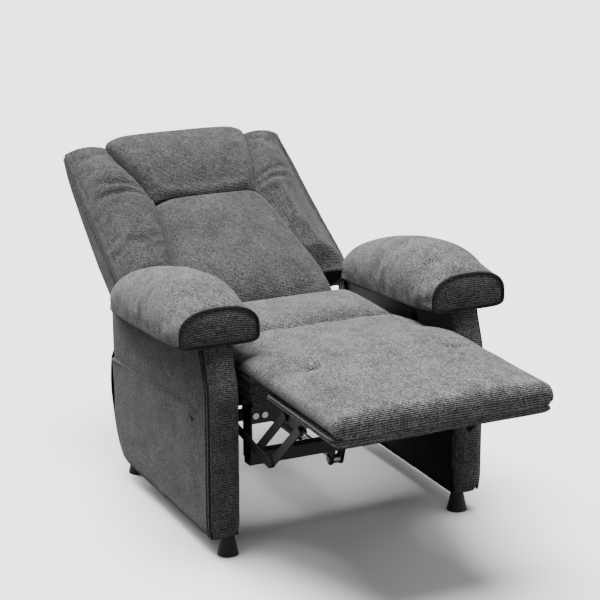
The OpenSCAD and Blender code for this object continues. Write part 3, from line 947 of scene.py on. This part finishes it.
    def side_panel(self) -> None:
        """Makes the upholstered side with its welt down the front edge, and a thin dark cord along the pocket's
        opening that is a painted shadow line under its lip.
        """
        word = self.side.word
        upholster(f"side_panel_{word}", (80, 60, 6), self.side_shape, "base", "side_fabric",
                  self.cloth.panel, (f"side_cover_{word}",))
        lay = self.layout
        # A thin dark cord along the pocket's opening: a painted shadow line under the pocket's lip.
        mouth = []
        for i in range(50):
            s = 0.12 + 0.86 * i / 49
            y = lay.front + self.strip + s * (lay.rear - lay.front - self.strip)
            z = self.mouth(y) - 0.035 * smooth((0.22 - s) / 0.14)
            x = lay.arm_out + 0.0098 - 0.006 * smooth((s - 0.95) / 0.05)
            mouth.append(Vector((self.sign * x, y, z)))
        pipe(f"pocket_edge_{word}", mouth, 0.0019, "base", "side_fabric", self.cloth.piping)
        for kind, offset, radius, material in (
                ("welt", 0.0, self.welt, self.cloth.piping),
                ("stitch", 0.0085, self.welt * 0.6, self.cloth.panel)):
            path = []
            for i in range(60):
                z = lay.lift + 0.006 + (lay.arm_top + 0.004 - lay.lift) * i / 59
                out = lay.arm_out + 0.0042 + offset * 0.25 - self.tuck_in(z)
                path.append(Vector((self.sign * out, self.front_y(z) + 0.012 + offset * 1.4, z)))
            pipe(f"arm_side_{kind}_{word}", path, radius, "base", "side_fabric", material)

    def tuck_in(self, z: float) -> float:
        """How far the arm's front draws in on each side at height z, near its lower end."""
        share = max(0.0, 1 - (z - self.layout.lift) / self.tuck_reach)
        return self.tuck * share**1.8

    def mouth(self, y: float) -> float:
        """Height of the pocket's opening at y."""
        return self.layout.lift + self.pocket + self.pocket_slope * (self.layout.rear - 0.006 - y)

    def strip_shape(self, u: float, v: float, w: float) -> Vector:
        """Places a point of the padded strip down the arm's front."""
        lay = self.layout
        half = (lay.arm_out - lay.arm_in) / 2
        t = (v + 1) / 2
        z = lay.lift + t * (lay.arm_top - lay.lift + 0.007)
        low = 1 - smooth((z - lay.lift) / 0.035)
        x = (lay.arm_in + lay.arm_out) / 2 + 0.001 + u * (half + 0.001 - self.tuck_in(z))
        crown = 0.011 * (1 - abs(u)**3.0) * (1 - 0.6 * low)
        ripple = 0.0014 * wrinkle(Vector((x * 0.6, 0, z * 1.3)), 0.03, 4.0 * self.sign)
        ripple += 0.003 * smooth((t - 0.80) / 0.2) * wrinkle(Vector((x * 0.4, 0, z)), 0.022, 9.0)
        y = self.front_y(z) + (self.strip + 0.002 if w > 0 else 0.005 - crown + ripple)
        y += 0.014 * low**2 if w < 0 else 0.0
        return Vector((self.sign * x, y, z))

    def front_strip(self) -> None:
        """Makes the front strip and its inner welt."""
        word = self.side.word
        upholster(f"arm_strip_{word}", (14, 80, 3), self.strip_shape, "base", "side_fabric",
                  self.cloth.strip, (f"arm_front_{word}",), 0.5)
        lay = self.layout
        path = []
        for i in range(60):
            z = lay.lift + 0.012 + (lay.arm_top - 0.012 - lay.lift) * i / 59
            path.append(Vector((self.sign * (lay.arm_in + 0.003 + self.tuck_in(z)),
                                self.front_y(z) + 0.009, z)))
        pipe(f"arm_inner_welt_{word}", path, self.welt * 0.8, "base", "side_fabric",
             self.cloth.strip)

    def lining_shape(self, u: float, v: float, w: float, low: float, high: float,
                     thick: float) -> Vector:
        """Places a point of the flat cloth on the arm's inner face.

        Args:
            u: from the front, -1, to the rear, 1.
            v: from low, -1, to high, 1.
            w: from the arm, -1, to the free face, 1.
            low: share of the arm's height where the cloth starts.
            high: share of the arm's height where it ends.
            thick: thickness of the cloth and its backing.

        Returns:
            The point in the chair's frame.
        """
        lay = self.layout
        s = (u + 1) / 2
        guess = lay.front + 0.013 + s * (lay.rear - lay.front - 0.013)
        top = lay.under_pad(guess)
        t = low + (high - low) * (v + 1) / 2
        z = lay.lift + 0.004 + t * (top - lay.lift - 0.004)
        front = self.front_y(z) + 0.013
        y = front + s * (self.rear_y(z) - 0.004 - front)
        sag = 0.0008 * wrinkle(Vector((0, y, z)), 0.09, 1.0)
        x = lay.arm_in + 0.0038 - (thick + sag) * (w + 1) / 2
        return Vector((self.sign * x, y, z))

    def lining(self) -> None:
        """Makes the black lining below the seat and the grey cloth above it."""
        word = self.side.word
        for kind, rows, reach, material, replaces in (
                ("lining", 24, (0.0, 0.80, 0.0036), self.cloth.lining, (f"inner_lining_{word}",)),
                ("inner_cloth", 12, (0.78, 0.985, 0.0046), self.cloth.strip, ())):
            piece = block(f"arm_{kind}_{word}", (40, rows, 1),
                          lambda u, v, w: self.lining_shape(u, v, w, *reach))
            Piece(piece, "base", "black_cloth", material, replaces, 0.1).register()


# ---- back ----------------------------------------------------------------


@dataclass
class Back:
    """The back: two centre cushions, two wings, the rear cover and its welts.

    Attributes:
        layout: the chair's main places.
        cloth: the finishes.
        width: half of the back's width over its wings.
        seam: height up the back of the seam between the cushions.
        top: height up the back of its upper edge.
        welt: radius of the piping.
        folds: level, slope and depth of each fold across a wing.
    """

    layout: Layout
    cloth: Wardrobe
    width: float = 0.315
    seam: float = 0.318
    top: float = 0.560
    welt: float = 0.0036
    folds: tuple[tuple[float, float, float], ...] = (
        (0.60, 0.05, 0.011), (0.655, 0.085, 0.008), (0.77, 0.03, 0.004), (0.93, -0.06, 0.004))

    def half(self, z: float) -> float:
        """Half of the centre cushions' width at height z up the back: an hourglass."""
        return follow([(-0.14, 0.205), (0.0, 0.200), (0.061, 0.190), (0.164, 0.174), (0.266, 0.160),
                       (0.318, 0.154), (0.36, 0.160), (0.412, 0.172), (0.492, 0.189),
                       (0.557, 0.200)], z)

    def place(self, x: float, y: float, z: float) -> Vector:
        """Takes a point from the back's own frame to the chair's."""
        return self.layout.on_back @ Vector((x, y, z))

    def build(self) -> None:
        """Builds every piece of the back."""
        self.cushion("head_cushion", (30, 24, 10), self.head_shape, 0.008)
        self.cushion("lumbar_cushion", (30, 40, 12), self.lumbar_shape, 0.008)
        for side in Side:
            self.wing(side)
        self.cover()

    def cushion(self, node: str, cuts: tuple[int, int, int], shape: Shape, reach: float) -> None:
        """Makes one centre cushion, sewn down round its edge and along its rear.

        Args:
            node: the CAD node that it stands for.
            cuts: cells of the cube.
            shape: its form.
            reach: how far it may swell.
        """
        edge: list[bool] = []

        def noted(u: float, v: float, w: float) -> Vector:
            """Places a point and notes whether it is sewn down."""
            edge.append(abs(u) > 0.985 or abs(v) > 0.985 or w > 0.5)
            return shape(u, v, w)

        piece = block(node + "_cover", cuts, noted)
        Stuffing(pressure=7.0, slack=0.006, reach=reach, stiff=5.0).swell(piece, lambda i: edge[i])
        soften(piece)
        Piece(piece, "back", "pad_fabric", self.cloth.back, (node,), 0.75).register()

    def head_shape(self, u: float, v: float, w: float) -> Vector:
        """Places a point of the head cushion: w -1 is its face."""
        t = (v + 1) / 2
        across, out = round_section(u, w, 4.2, 8.0)
        z = self.seam + 0.003 + t * (0.577 - self.seam - 0.003)
        front = follow([(0, 0.034), (0.10, 0.052), (0.3, 0.066), (0.6, 0.068), (0.82, 0.058),
                        (0.94, 0.044), (1, 0.028)], t)
        y = -0.008 + (front * out if out < 0 else 0.014 * out)
        lift = 0.004 * (1 - across**4) * smooth((t - 0.8) / 0.2)
        dip = -0.004 * (1 - across**2) * smooth((0.12 - t) / 0.12)
        return self.place(across * self.half(z), y, z + lift - 0.008 * across**4 * t + dip)

    def lumbar_shape(self, u: float, v: float, w: float) -> Vector:
        """Places a point of the lumbar cushion: w -1 is its face."""
        t = (v + 1) / 2
        across, out = round_section(u, w, 3.0, 8.0)
        z = -0.142 + t * (self.seam - 0.003 + 0.142)
        front = follow([(0, 0.088), (0.05, 0.108), (0.14, 0.122), (0.32, 0.122), (0.55, 0.110),
                        (0.80, 0.093), (0.94, 0.074), (0.985, 0.050), (1, 0.032)], t)
        y = -0.008 + (front * out if out < 0 else 0.014 * out)
        if t < 0.25 and out > 0:
            y -= 0.080 * smooth((0.25 - t) / 0.25)
        return self.place(across * self.half(z), y, z)

    def wing_shape(self, side: Side, u: float, v: float, w: float) -> Vector:
        """Places a point of a wing.

        Args:
            side: which wing.
            u: from the centre cushions, -1, to the outer welt, 1.
            v: from the bottom, -1, to the top, 1.
            w: from the face, -1, to the rear, 1.

        Returns:
            The point in the chair's frame.
        """
        s, t = (u + 1) / 2, (v + 1) / 2
        low, high = 0.014, self.top + 0.002
        z = low + t * (high - low)
        inner = self.half(z) - 0.012 * math.sin(math.pi * min(1.0, t * 1.2))
        x = inner + s * (self.width - inner)
        z += 0.004 * smooth((t - 0.85) / 0.15) * math.sin(math.pi * s)
        puff = follow([(0, 0.026), (0.14, 0.047), (0.38, 0.060), (0.66, 0.050), (0.86, 0.024),
                       (1, -0.006)], s)
        ends = (0.34 + 0.66 * smooth(t / 0.14)) * (1 - 0.72 * smooth((t - 0.72) / 0.28))
        fold = 0.0
        for level, slope, depth in self.folds:
            away = (t - level - slope * (s - 0.3)) / 0.013
            middle = smooth((0.95 - s) / 0.4)
            fold += depth * math.exp(-away * away) * middle * smooth((s + 0.05) / 0.2)
        gather = wrinkle(Vector((0.3 * x, 0.0, z)), 0.020, 2.0 * side.value) * (
            math.exp(-s / 0.12) + 0.7 * math.exp(-(1 - s) / 0.12))
        front = (puff - fold + 0.0030 * gather) * ends
        rear = 0.012 + 0.004 * s
        limit = -0.02 - 1.2 * z
        face = max(-0.004 - front, limit)
        face = min(face, rear - 0.002)
        y = face + (rear - face) * (w + 1) / 2
        return self.place(side.value * x, y, z)

    def wing(self, side: Side) -> None:
        """Makes one wing and the welt down its outer edge."""
        edge: list[bool] = []

        def noted(u: float, v: float, w: float) -> Vector:
            """Places a point and notes whether it is sewn down."""
            edge.append(abs(u) > 0.93 or abs(v) > 0.95 or v < -0.75 or w > -0.4)
            return self.wing_shape(side, u, v, w)

        piece = block(f"wing_cover_{side.word}", (20, 56, 4), noted)
        Stuffing(pressure=4.5, slack=0.016, reach=0.012, stiff=1.5).swell(piece, lambda i: edge[i])
        soften(piece)
        Piece(piece, "back", "pad_fabric", self.cloth.back, (f"wing_{side.word}",), 0.6).register()
        stitch = [self.wing_shape(side, 0.86, -0.94 + 1.9 * k / 60, -1) for k in range(61)]
        pipe(f"wing_stitch_{side.word}", stitch, self.welt * 0.6, "back", "pad_fabric",
             self.cloth.back)
        rim = side.value * (self.width + 0.001)
        path = [self.place(rim, 0.010, 0.060 + (self.top - 0.066) * k / 60) for k in range(61)]
        pipe(f"back_welt_{side.word}", path, self.welt, "back", "side_fabric", self.cloth.piping)

    def cover_shape(self, u: float, v: float, w: float) -> Vector:
        """Places a point of the rear cover: u across, v up, w from the front to the rear."""
        t = (v + 1) / 2
        z = 0.042 + t * (self.top - 0.042)
        rear = follow([(0.042, 0.072), (0.066, 0.092), (0.107, 0.104), (0.215, 0.104),
                       (0.297, 0.093),
                       (0.42, 0.072), (0.51, 0.050), (0.56, 0.024)], z)
        front = max(0.017, 0.044 - (z - 0.042) * 0.22)
        across, out = round_section(u, w, 12.0, 12.0)
        crown = 0.006 * (1 - u * u) * smooth(t / 0.1) * smooth((1 - t) / 0.06)
        ripple = 0.002 * wrinkle(Vector((u * 0.3, 0, z)), 0.06, 8.0)
        y = front + (rear + (crown + ripple if w > 0.9 else 0.0) - front) * (out + 1) / 2
        return self.place(across * (self.width - 0.001), y, z)

    def cover(self) -> None:
        """Makes the cover on the back's rear, with a welt round its rear edge."""
        upholster("back_rear_cover", (56, 46, 8), self.cover_shape, "back", "side_fabric",
                  self.cloth.panel, ("back_cover",))
        for side in Side:
            path = [self.cover_shape(side.value * 0.985, -0.96 + 1.92 * k / 60, 0.985)
                    for k in range(61)]
            pipe(f"back_rear_welt_{side.word}", path, self.welt, "back", "side_fabric",
                 self.cloth.piping)
        path = [self.cover_shape(-0.97 + 1.94 * k / 40, 0.965, 1.0) for k in range(41)]
        pipe("back_top_welt", path, self.welt, "back", "side_fabric", self.cloth.piping)


# ---- seat and footrest ---------------------------------------------------


@dataclass
class Seat:
    """The seat cushion, the long front pad over the footrest, and what closes their undersides.

    Attributes:
        layout: the chair's main places.
        cloth: the finishes.
        seam: distance behind the arms' front of the seam between the two pads.
        seat_rear: distance behind the arms' front of the seat cushion's rear.
        pad_front: distance ahead of the arms' front of the footrest's end.
        half: half of the long pad's width.
        top: height of the long pad's edge.
        under: height of the long pad's underside.
        cushion_half: half of the seat cushion's width.
        band_z: height of the middle of the footrest's covered board.
        band_seam_z: height of the seam above that board.
        tuft_out: distance of a tuft from the chair's middle.
        tuft_ahead: distance of the tufts ahead of the arms' front.
    """

    layout: Layout
    cloth: Wardrobe
    seam: float = 0.163
    seat_rear: float = 0.392
    pad_front: float = 0.441
    half: float = 0.270
    top: float = 0.486
    under: float = 0.428
    cushion_half: float = 0.262
    band_z: float = 0.4203
    band_seam_z: float = 0.4292
    tuft_out: float = 0.176
    tuft_ahead: float = 0.148

    def build(self) -> None:
        """Builds every piece of the seat."""
        self.seat_cushion()
        self.long_pad()
        self.footrest_band()
        self.front_base()
        self.aprons()
        self.front_panel()

    def seat_shape(self, u: float, v: float, w: float) -> Vector:
        """Places a point of the seat cushion: v -1 is its front, w 1 its top."""
        lay = self.layout
        t = (v + 1) / 2
        x = u * self.cushion_half
        crown = 0.488 - 0.050 * smooth((abs(x) - 0.165) / 0.085)
        crown += 0.008 * (1 - (x / self.cushion_half)**2) * math.sin(math.pi * t)
        ends = 0.022 * smooth((0.10 - t) / 0.10)**2 + 0.024 * smooth((t - 0.86) / 0.14)**2
        z_top = crown - ends
        z = 0.405 + (z_top - 0.405) * (w + 1) / 2
        rear = self.seat_rear - 0.050 * (0.482 - z) / 0.075
        y = lay.front + self.seam + t * (rear - self.seam)
        return Vector((x, y, z))

    def seat_cushion(self) -> None:
        """Makes the seat cushion."""
        edge: list[bool] = []

        def noted(u: float, v: float, w: float) -> Vector:
            """Places a point and notes whether it is sewn down."""
            edge.append(w < 0.5 or abs(u) > 0.8 or abs(v) > 0.93)
            return self.seat_shape(u, v, w)

        piece = block("seat_cushion_cover", (36, 18, 6), noted)
        Stuffing(pressure=4.0, slack=0.010, reach=0.008, stiff=2.0).swell(piece, lambda i: edge[i])
        soften(piece)
        Piece(piece, "seat", "pad_fabric", self.cloth.pad, ("seat_cushion",), 0.8).register()

    def pad_shape(self, u: float, v: float, w: float) -> Vector:
        """Places a point of the long pad: v -1 is the footrest's end, w 1 its top."""
        lay = self.layout
        t = (v + 1) / 2
        reach = -self.pad_front + t * (self.pad_front + self.seam)
        between = smooth((reach + 0.02) / 0.10)
        half = self.half - 0.006 * between
        across, up = round_section(u, w, 5.0, 5.0 - 1.4 * between)
        x = across * half
        crown = 0.016 * (1 - (x / half)**2) * math.sin(math.pi * smooth(t * 1.05))
        knee = 0.008 * math.exp(-((reach + 0.10) / 0.10)**2) * (1 - (x / half)**4)
        drop = 0.020 * between * smooth((abs(x) - 0.17) / 0.09)
        top = self.top + crown + knee - drop
        under = self.under - 0.004 * between
        middle = (top + under) / 2
        z = middle + up * (top - under) / 2
        nose = 1 - min(1.0, (1 + v) / 0.075)
        tail = 1 - min(1.0, (1 - v) / 0.05)
        shut = math.sqrt(max(0.0, 1 - (0.95 * max(nose, tail))**3.0))
        z = under + (z - under) * (0.34 + 0.66 * shut)
        bow = -0.004 * math.cos(math.pi * x / half / 2) * smooth((0.2 - t) / 0.2)
        ripple = 0.0015 * wrinkle(Vector((x, reach, 0)), 0.06, 6.0) * (1 if up > 0 else 0)
        return Vector((x, lay.front + reach + bow, z + ripple))

    @staticmethod
    def tuft_hollow(dx: float, dy: float) -> float:
        """Depth of the broad hollow round a tuft, at an offset from it."""
        away = math.hypot(dx, dy)
        depth = 0.014 * math.exp(-(away / 0.013)**2) + 0.013 * math.exp(-(away / 0.048)**2)
        return depth + 0.0045 * math.exp(-(dy / 0.011)**2) * math.exp(-(dx / 0.07)**2)

    @staticmethod
    def tuft_creases(dx: float, dy: float) -> float:
        """Depth of the creases that run out from a tuft, at an offset from it."""
        away = math.hypot(dx, dy)
        if away > 0.12:
            return 0.0
        spread = math.exp(-(away / 0.040)**2) * (1 - math.exp(-(away / 0.012)**2))
        depth = 0.007 * math.exp(-(away / 0.009)**2)
        depth += 0.0035 * math.cos(5 * math.atan2(dy, dx) + 0.6) * spread
        return depth + 0.0035 * math.exp(-(dy / 0.006)**2) * math.exp(-(dx / 0.060)**2)

    def press_tufts(self, piece: bpy.types.Object, lowest: float,
                    depth: Callable[[float, float], float]) -> None:
        """Presses both tufts into the long pad's top.

        Args:
            piece: the pad.
            lowest: height below which a point is left alone.
            depth: gives how far a point sinks, from its offset from a tuft.
        """
        points = read_points(piece.data)
        tufts = [Vector((s * self.tuft_out, self.layout.front - self.tuft_ahead)) for s in (-1, 1)]
        for p in points:
            if p[2] < lowest:
                continue
            for tuft in tufts:
                p[2] -= depth(p[0] - tuft.x, p[1] - tuft.y)
        write_points(piece.data, points)

    def long_pad(self) -> None:
        """Makes the long pad over the seat and the footrest, with its two tufts; it is not hung on any body."""
        edge: list[bool] = []

        def noted(u: float, v: float, w: float) -> Vector:
            """Places a point and notes whether it is sewn down."""
            edge.append(w < 0.3 or abs(v) > 0.97 or abs(u) > 0.96)
            return self.pad_shape(u, v, w)

        piece = block("long_pad_cover", (64, 72, 6), noted)
        Stuffing(pressure=4.0, slack=0.010, reach=0.008, stiff=2.0).swell(piece, lambda i: edge[i])
        self.press_tufts(piece, self.top - 0.018, self.tuft_hollow)
        self.press_tufts(piece, self.top - 0.034, self.tuft_creases)
        soften(piece)
        item = Piece(piece, "seat", "pad_fabric", self.cloth.pad,
                     ("chaise_cushion", "footrest_pad"), 0.75)
        item.register(ride=False)
        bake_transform(piece)

    def band_shape(self, u: float, v: float, w: float) -> Vector:
        """Places a point of the covered board below the footrest's pad."""
        across, up = round_section(u, w, 9.0, 9.0)
        t = (v + 1) / 2
        half = self.half - 0.003
        rear = -0.101
        front = -self.pad_front + 0.004
        y = self.layout.front + front + t * (rear - front)
        crown = 0.003 * math.sin(math.pi * min(1.0, max(0.0, t))) * 0.3
        return Vector((across * half, y, self.band_z + up * 0.0098 + (crown if up > 0 else 0)))

    def footrest_band(self) -> None:
        """Makes the covered board with the stitched seam above it."""
        upholster("footrest_board_cover", (40, 26, 4), self.band_shape, "footrest", "pad_fabric",
                  self.cloth.pad)
        lay = self.layout
        half, turn = self.half - 0.0025, 0.012
        rear, front = lay.front - 0.118, lay.front - self.pad_front + 0.004
        path = [Vector((x, y, self.band_seam_z)) for x, y in (
            (-half, rear), (-half, front + turn), (turn - half, front),
            (half - turn, front), (half, front + turn), (half, rear))]
        fine = []
        for a, b in zip(path, path[1:]):
            steps = max(1, round((b - a).length / 0.02))
            fine += [a.lerp(b, k / steps) for k in range(steps)]
        fine.append(path[-1])
        pipe("footrest_seam_welt", fine, 0.0026, "footrest", "pad_fabric", self.cloth.strip)

    def base_shape(self, u: float, v: float, w: float) -> Vector:
        """Places a point of the covered edge below the long pad, between the arms."""
        across, up = round_section(u, w, 8.0, 8.0)
        t = (v + 1) / 2
        y = self.layout.front + 0.004 + t * 0.150
        return Vector((across * self.cushion_half, y, 0.4265 + up * 0.0135))

    def front_base(self) -> None:
        """Makes the covered edge that carries the long pad on the seat's frame."""
        upholster("seat_edge_cover", (30, 12, 4), self.base_shape, "seat", "pad_fabric",
                  self.cloth.strip)

    def apron(self, name: str, low: Vector, high: Vector) -> None:
        """Makes one strip of cloth over the seat's wooden frame.

        Args:
            name: the piece's name.
            low: its lowest corner.
            high: its highest corner.
        """
        middle, half = (low + high) / 2, (high - low) / 2
        cuts = tuple(max(1, round(side / 0.02)) for side in high - low)
        piece = block(name, cuts, lambda *p: middle + Vector(a * b for a, b in zip(p, half)))
        Piece(piece, "seat", "side_fabric", self.cloth.strip, (), 0.1).register()

    def aprons(self) -> None:
        """Covers the sides and front of the seat's wooden frame."""
        low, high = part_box("seat_frame")
        skin = 0.0025
        for side in Side:
            inner, outer = side.value * (high.x + 0.0001), side.value * (high.x + skin)
            self.apron(f"seat_corner_cloth_{side.word}",
                       Vector((min(inner, outer), low.y - skin, low.z)),
                       Vector((max(inner, outer), low.y + 0.130, low.z + 0.019)))
            self.apron(f"seat_side_cloth_{side.word}",
                       Vector((min(inner, outer), low.y - skin, low.z + 0.019)),
                       Vector((max(inner, outer), high.y, high.z + 0.010)))
        self.apron("seat_nose_cloth", Vector((low.x, low.y - skin, low.z)),
                   Vector((high.x, low.y - 0.0001, high.z + 0.010)))

    def panel_shape(self, u: float, v: float, w: float) -> Vector:
        """Places a point of the cloth panel across the front, below the seat."""
        low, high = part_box("seat_front_panel")
        half = high.x
        z = low.z + (high.z - low.z) * (v + 1) / 2
        crown = 0.002 * (1 - v**4) * (1 - u**6)
        y = low.y - crown if w < 0 else high.y
        return Vector((u * half, y, z))

    def front_panel(self) -> None:
        """Makes the cloth panel across the front."""
        upholster("seat_front_cloth", (30, 8, 2), self.panel_shape, "seat", "side_fabric",
                  self.cloth.strip, ("seat_front_panel",))


# ---- underside and hard parts --------------------------------------------


@dataclass
class Underside:
    """The black dust cover at the rear and the finishes of the CAD's own pieces.

    Attributes:
        layout: the chair's main places.
        cloth: the finishes.
        low: height of the dust cover's lower edge.
        drop: the dust cover's height.
    """

    layout: Layout
    cloth: Wardrobe
    low: float = 0.118
    drop: float = 0.212

    def build(self) -> None:
        """Builds the dust cover and dresses the frame."""
        self.dust_cover()
        self.dress()

    def dust_shape(self, u: float, v: float, w: float) -> Vector:
        """Places a point of the hanging dust cover."""
        t = (v + 1) / 2
        z = self.low + t * self.drop
        out = follow([(0, 0.003), (0.22, 0.028), (0.45, 0.042), (0.66, 0.044), (0.85, 0.034),
                      (1, 0.001)], t)
        out *= 1 - 0.35 * abs(u)**3
        slack = 0.004 * wrinkle(Vector((u * 0.28, 0, z)), 0.05, 12.0)
        x = u * (self.layout.arm_out - 0.003)
        y = self.layout.rear + 0.002 + out + slack - (0.003 if w < 0 else 0.0)
        return Vector((x, y, z))

    def dust_cover(self) -> None:
        """Makes the dust cover."""
        upholster("dust_cover_cloth", (50, 26, 1), self.dust_shape, "base", "black_cloth",
                  self.cloth.lining, ("rear_dust_cover",), 0.1)

    def dress(self) -> None:
        """Gives each CAD node that stays its finish."""
        kinds = {"black_steel": self.cloth.steel, "bright_steel": self.cloth.zinc,
                 "spring_steel": self.cloth.wire, "black_plastic": self.cloth.plastic,
                 "button_plastic": self.cloth.button, "wood": self.cloth.wood,
                 "side_fabric": self.cloth.panel, "pad_fabric": self.cloth.pad,
                 "black_cloth": self.cloth.lining}
        for part in frame["record"]["subparts"]:
            node = frame["nodes"][part["node"]]
            node.data.materials.clear()
            node.data.materials.append(kinds[part["material_slot"]])


# ---- studio --------------------------------------------------------------


# Name, direction of travel, strength and angular size in degrees of each sun
SUNS = (
    ("rear_sky", (0.24, -0.74, -0.62), 3.0, 36.0),
    ("top_sky", (0.05, -0.16, -0.98), 9.9, 44.0),
    ("right_sky", (-0.8, 0.2, -0.5), 0.8, 70.0),
)


@dataclass(frozen=True)
class Studio:
    """The pale floor, the soft lights and the camera.

    Attributes:
        azimuth: direction of the camera round the chair, in degrees.
        pitch: how far it looks down, in degrees.
        place: where the camera stands.
        lens: focal length for a 36 mm sensor, in millimetres.
        horizon: distance ahead of the camera where the floor ends.
        floor_half: half of the floor's width and of its depth.
        wall: brightness of the surroundings as seen.
        ambient: their brightness as a light.
    """

    azimuth: float = -25.8
    pitch: float = 16.8
    place: tuple[float, float, float] = (-2.0023, -4.1921, 1.8974)
    lens: float = 118.8
    horizon: float = 6.26
    floor_half: tuple[float, float] = (6.0, 4.5)
    wall: float = 3.2
    ambient: float = 0.30

    def camera(self) -> None:
        """Makes the camera."""
        data = bpy.data.cameras.new("camera")
        data.lens = self.lens
        data.sensor_width = 36.0
        item = bpy.data.objects.new("camera", data)
        item.location = self.place
        item.rotation_euler = (math.radians(90 - self.pitch), 0, math.radians(self.azimuth))
        bpy.context.scene.collection.objects.link(item)
        bpy.context.scene.camera = item

    def floor(self) -> None:
        """Makes a pale floor that ends where the background starts."""
        mesh = bmesh.new()
        bmesh.ops.create_grid(mesh, x_segments=2, y_segments=2, size=1.0)
        for vert in mesh.verts:
            vert.co = Vector((vert.co.x * self.floor_half[0], vert.co.y * self.floor_half[1], 0))
        turn = math.radians(self.azimuth)
        ahead = Vector((-math.sin(turn), math.cos(turn), 0))
        centre = Vector((*self.place[:2], 0)) + ahead * (self.horizon - self.floor_half[1])
        lay_down = Matrix.Translation(centre) @ Matrix.Rotation(turn, 4, "Z")
        bmesh.ops.transform(mesh, matrix=lay_down, verts=mesh.verts)
        item = finish_mesh(mesh, "floor", smooth_faces=False)
        material, kit, shader = start_material("pale_floor")
        place = kit.add("TexCoord").outputs["Object"]
        cloudy = kit.add("TexNoise", in_Vector=place, in_Scale=1.2, in_Detail=2.0).outputs["Fac"]
        pale = kit.mix(cloudy, (0.82, 0.815, 0.85, 1), (0.84, 0.835, 0.87, 1))
        seen = kit.add("LightPath").outputs["Is Camera Ray"]
        kit.tree.links.new(kit.mix(seen, (0.15, 0.15, 0.16, 1), pale), shader.inputs["Base Color"])
        shader.inputs["Roughness"].default_value = 0.55
        item.data.materials.append(material)

    def lights(self) -> None:
        """Makes broad soft lights from behind and above, and a weak one from the right."""
        for name, towards, strength, angle in SUNS:
            data = bpy.data.lights.new(name, "SUN")
            data.energy = strength
            data.angle = math.radians(angle)
            item = bpy.data.objects.new(name, data)
            item.rotation_euler = Vector(towards).to_track_quat("-Z", "Y").to_euler()
            bpy.context.scene.collection.objects.link(item)

    def world(self) -> None:
        """Makes the pale surroundings, which look brighter than they light the chair."""
        world = bpy.data.worlds.new("studio")
        world.use_nodes = True
        kit = NodeKit(world.node_tree)
        seen = kit.add("LightPath").outputs["Is Camera Ray"]
        strength = kit.math("MULTIPLY_ADD", seen, self.wall - self.ambient, self.ambient)
        back = kit.add("Background", in_Color=(1.0, 1.0, 1.0, 1), in_Strength=strength)
        kit.add("OutputWorld", in_Surface=back.outputs[0])
        bpy.context.scene.world = world

    def build(self) -> None:
        """Builds the whole set."""
        self.camera()
        self.floor()
        self.lights()
        self.world()


def main() -> None:
    """Builds the chair and its set, in order."""
    logging.basicConfig(level=logging.INFO, format="%(name)s %(message)s")
    Studio().build()
    layout = Layout.read()
    cloth = Wardrobe()
    for side in Side:
        Arm(layout, cloth, side).build()
    Back(layout, cloth).build()
    Seat(layout, cloth).build()
    Underside(layout, cloth).build()


if __name__ == "__main__":
    main()
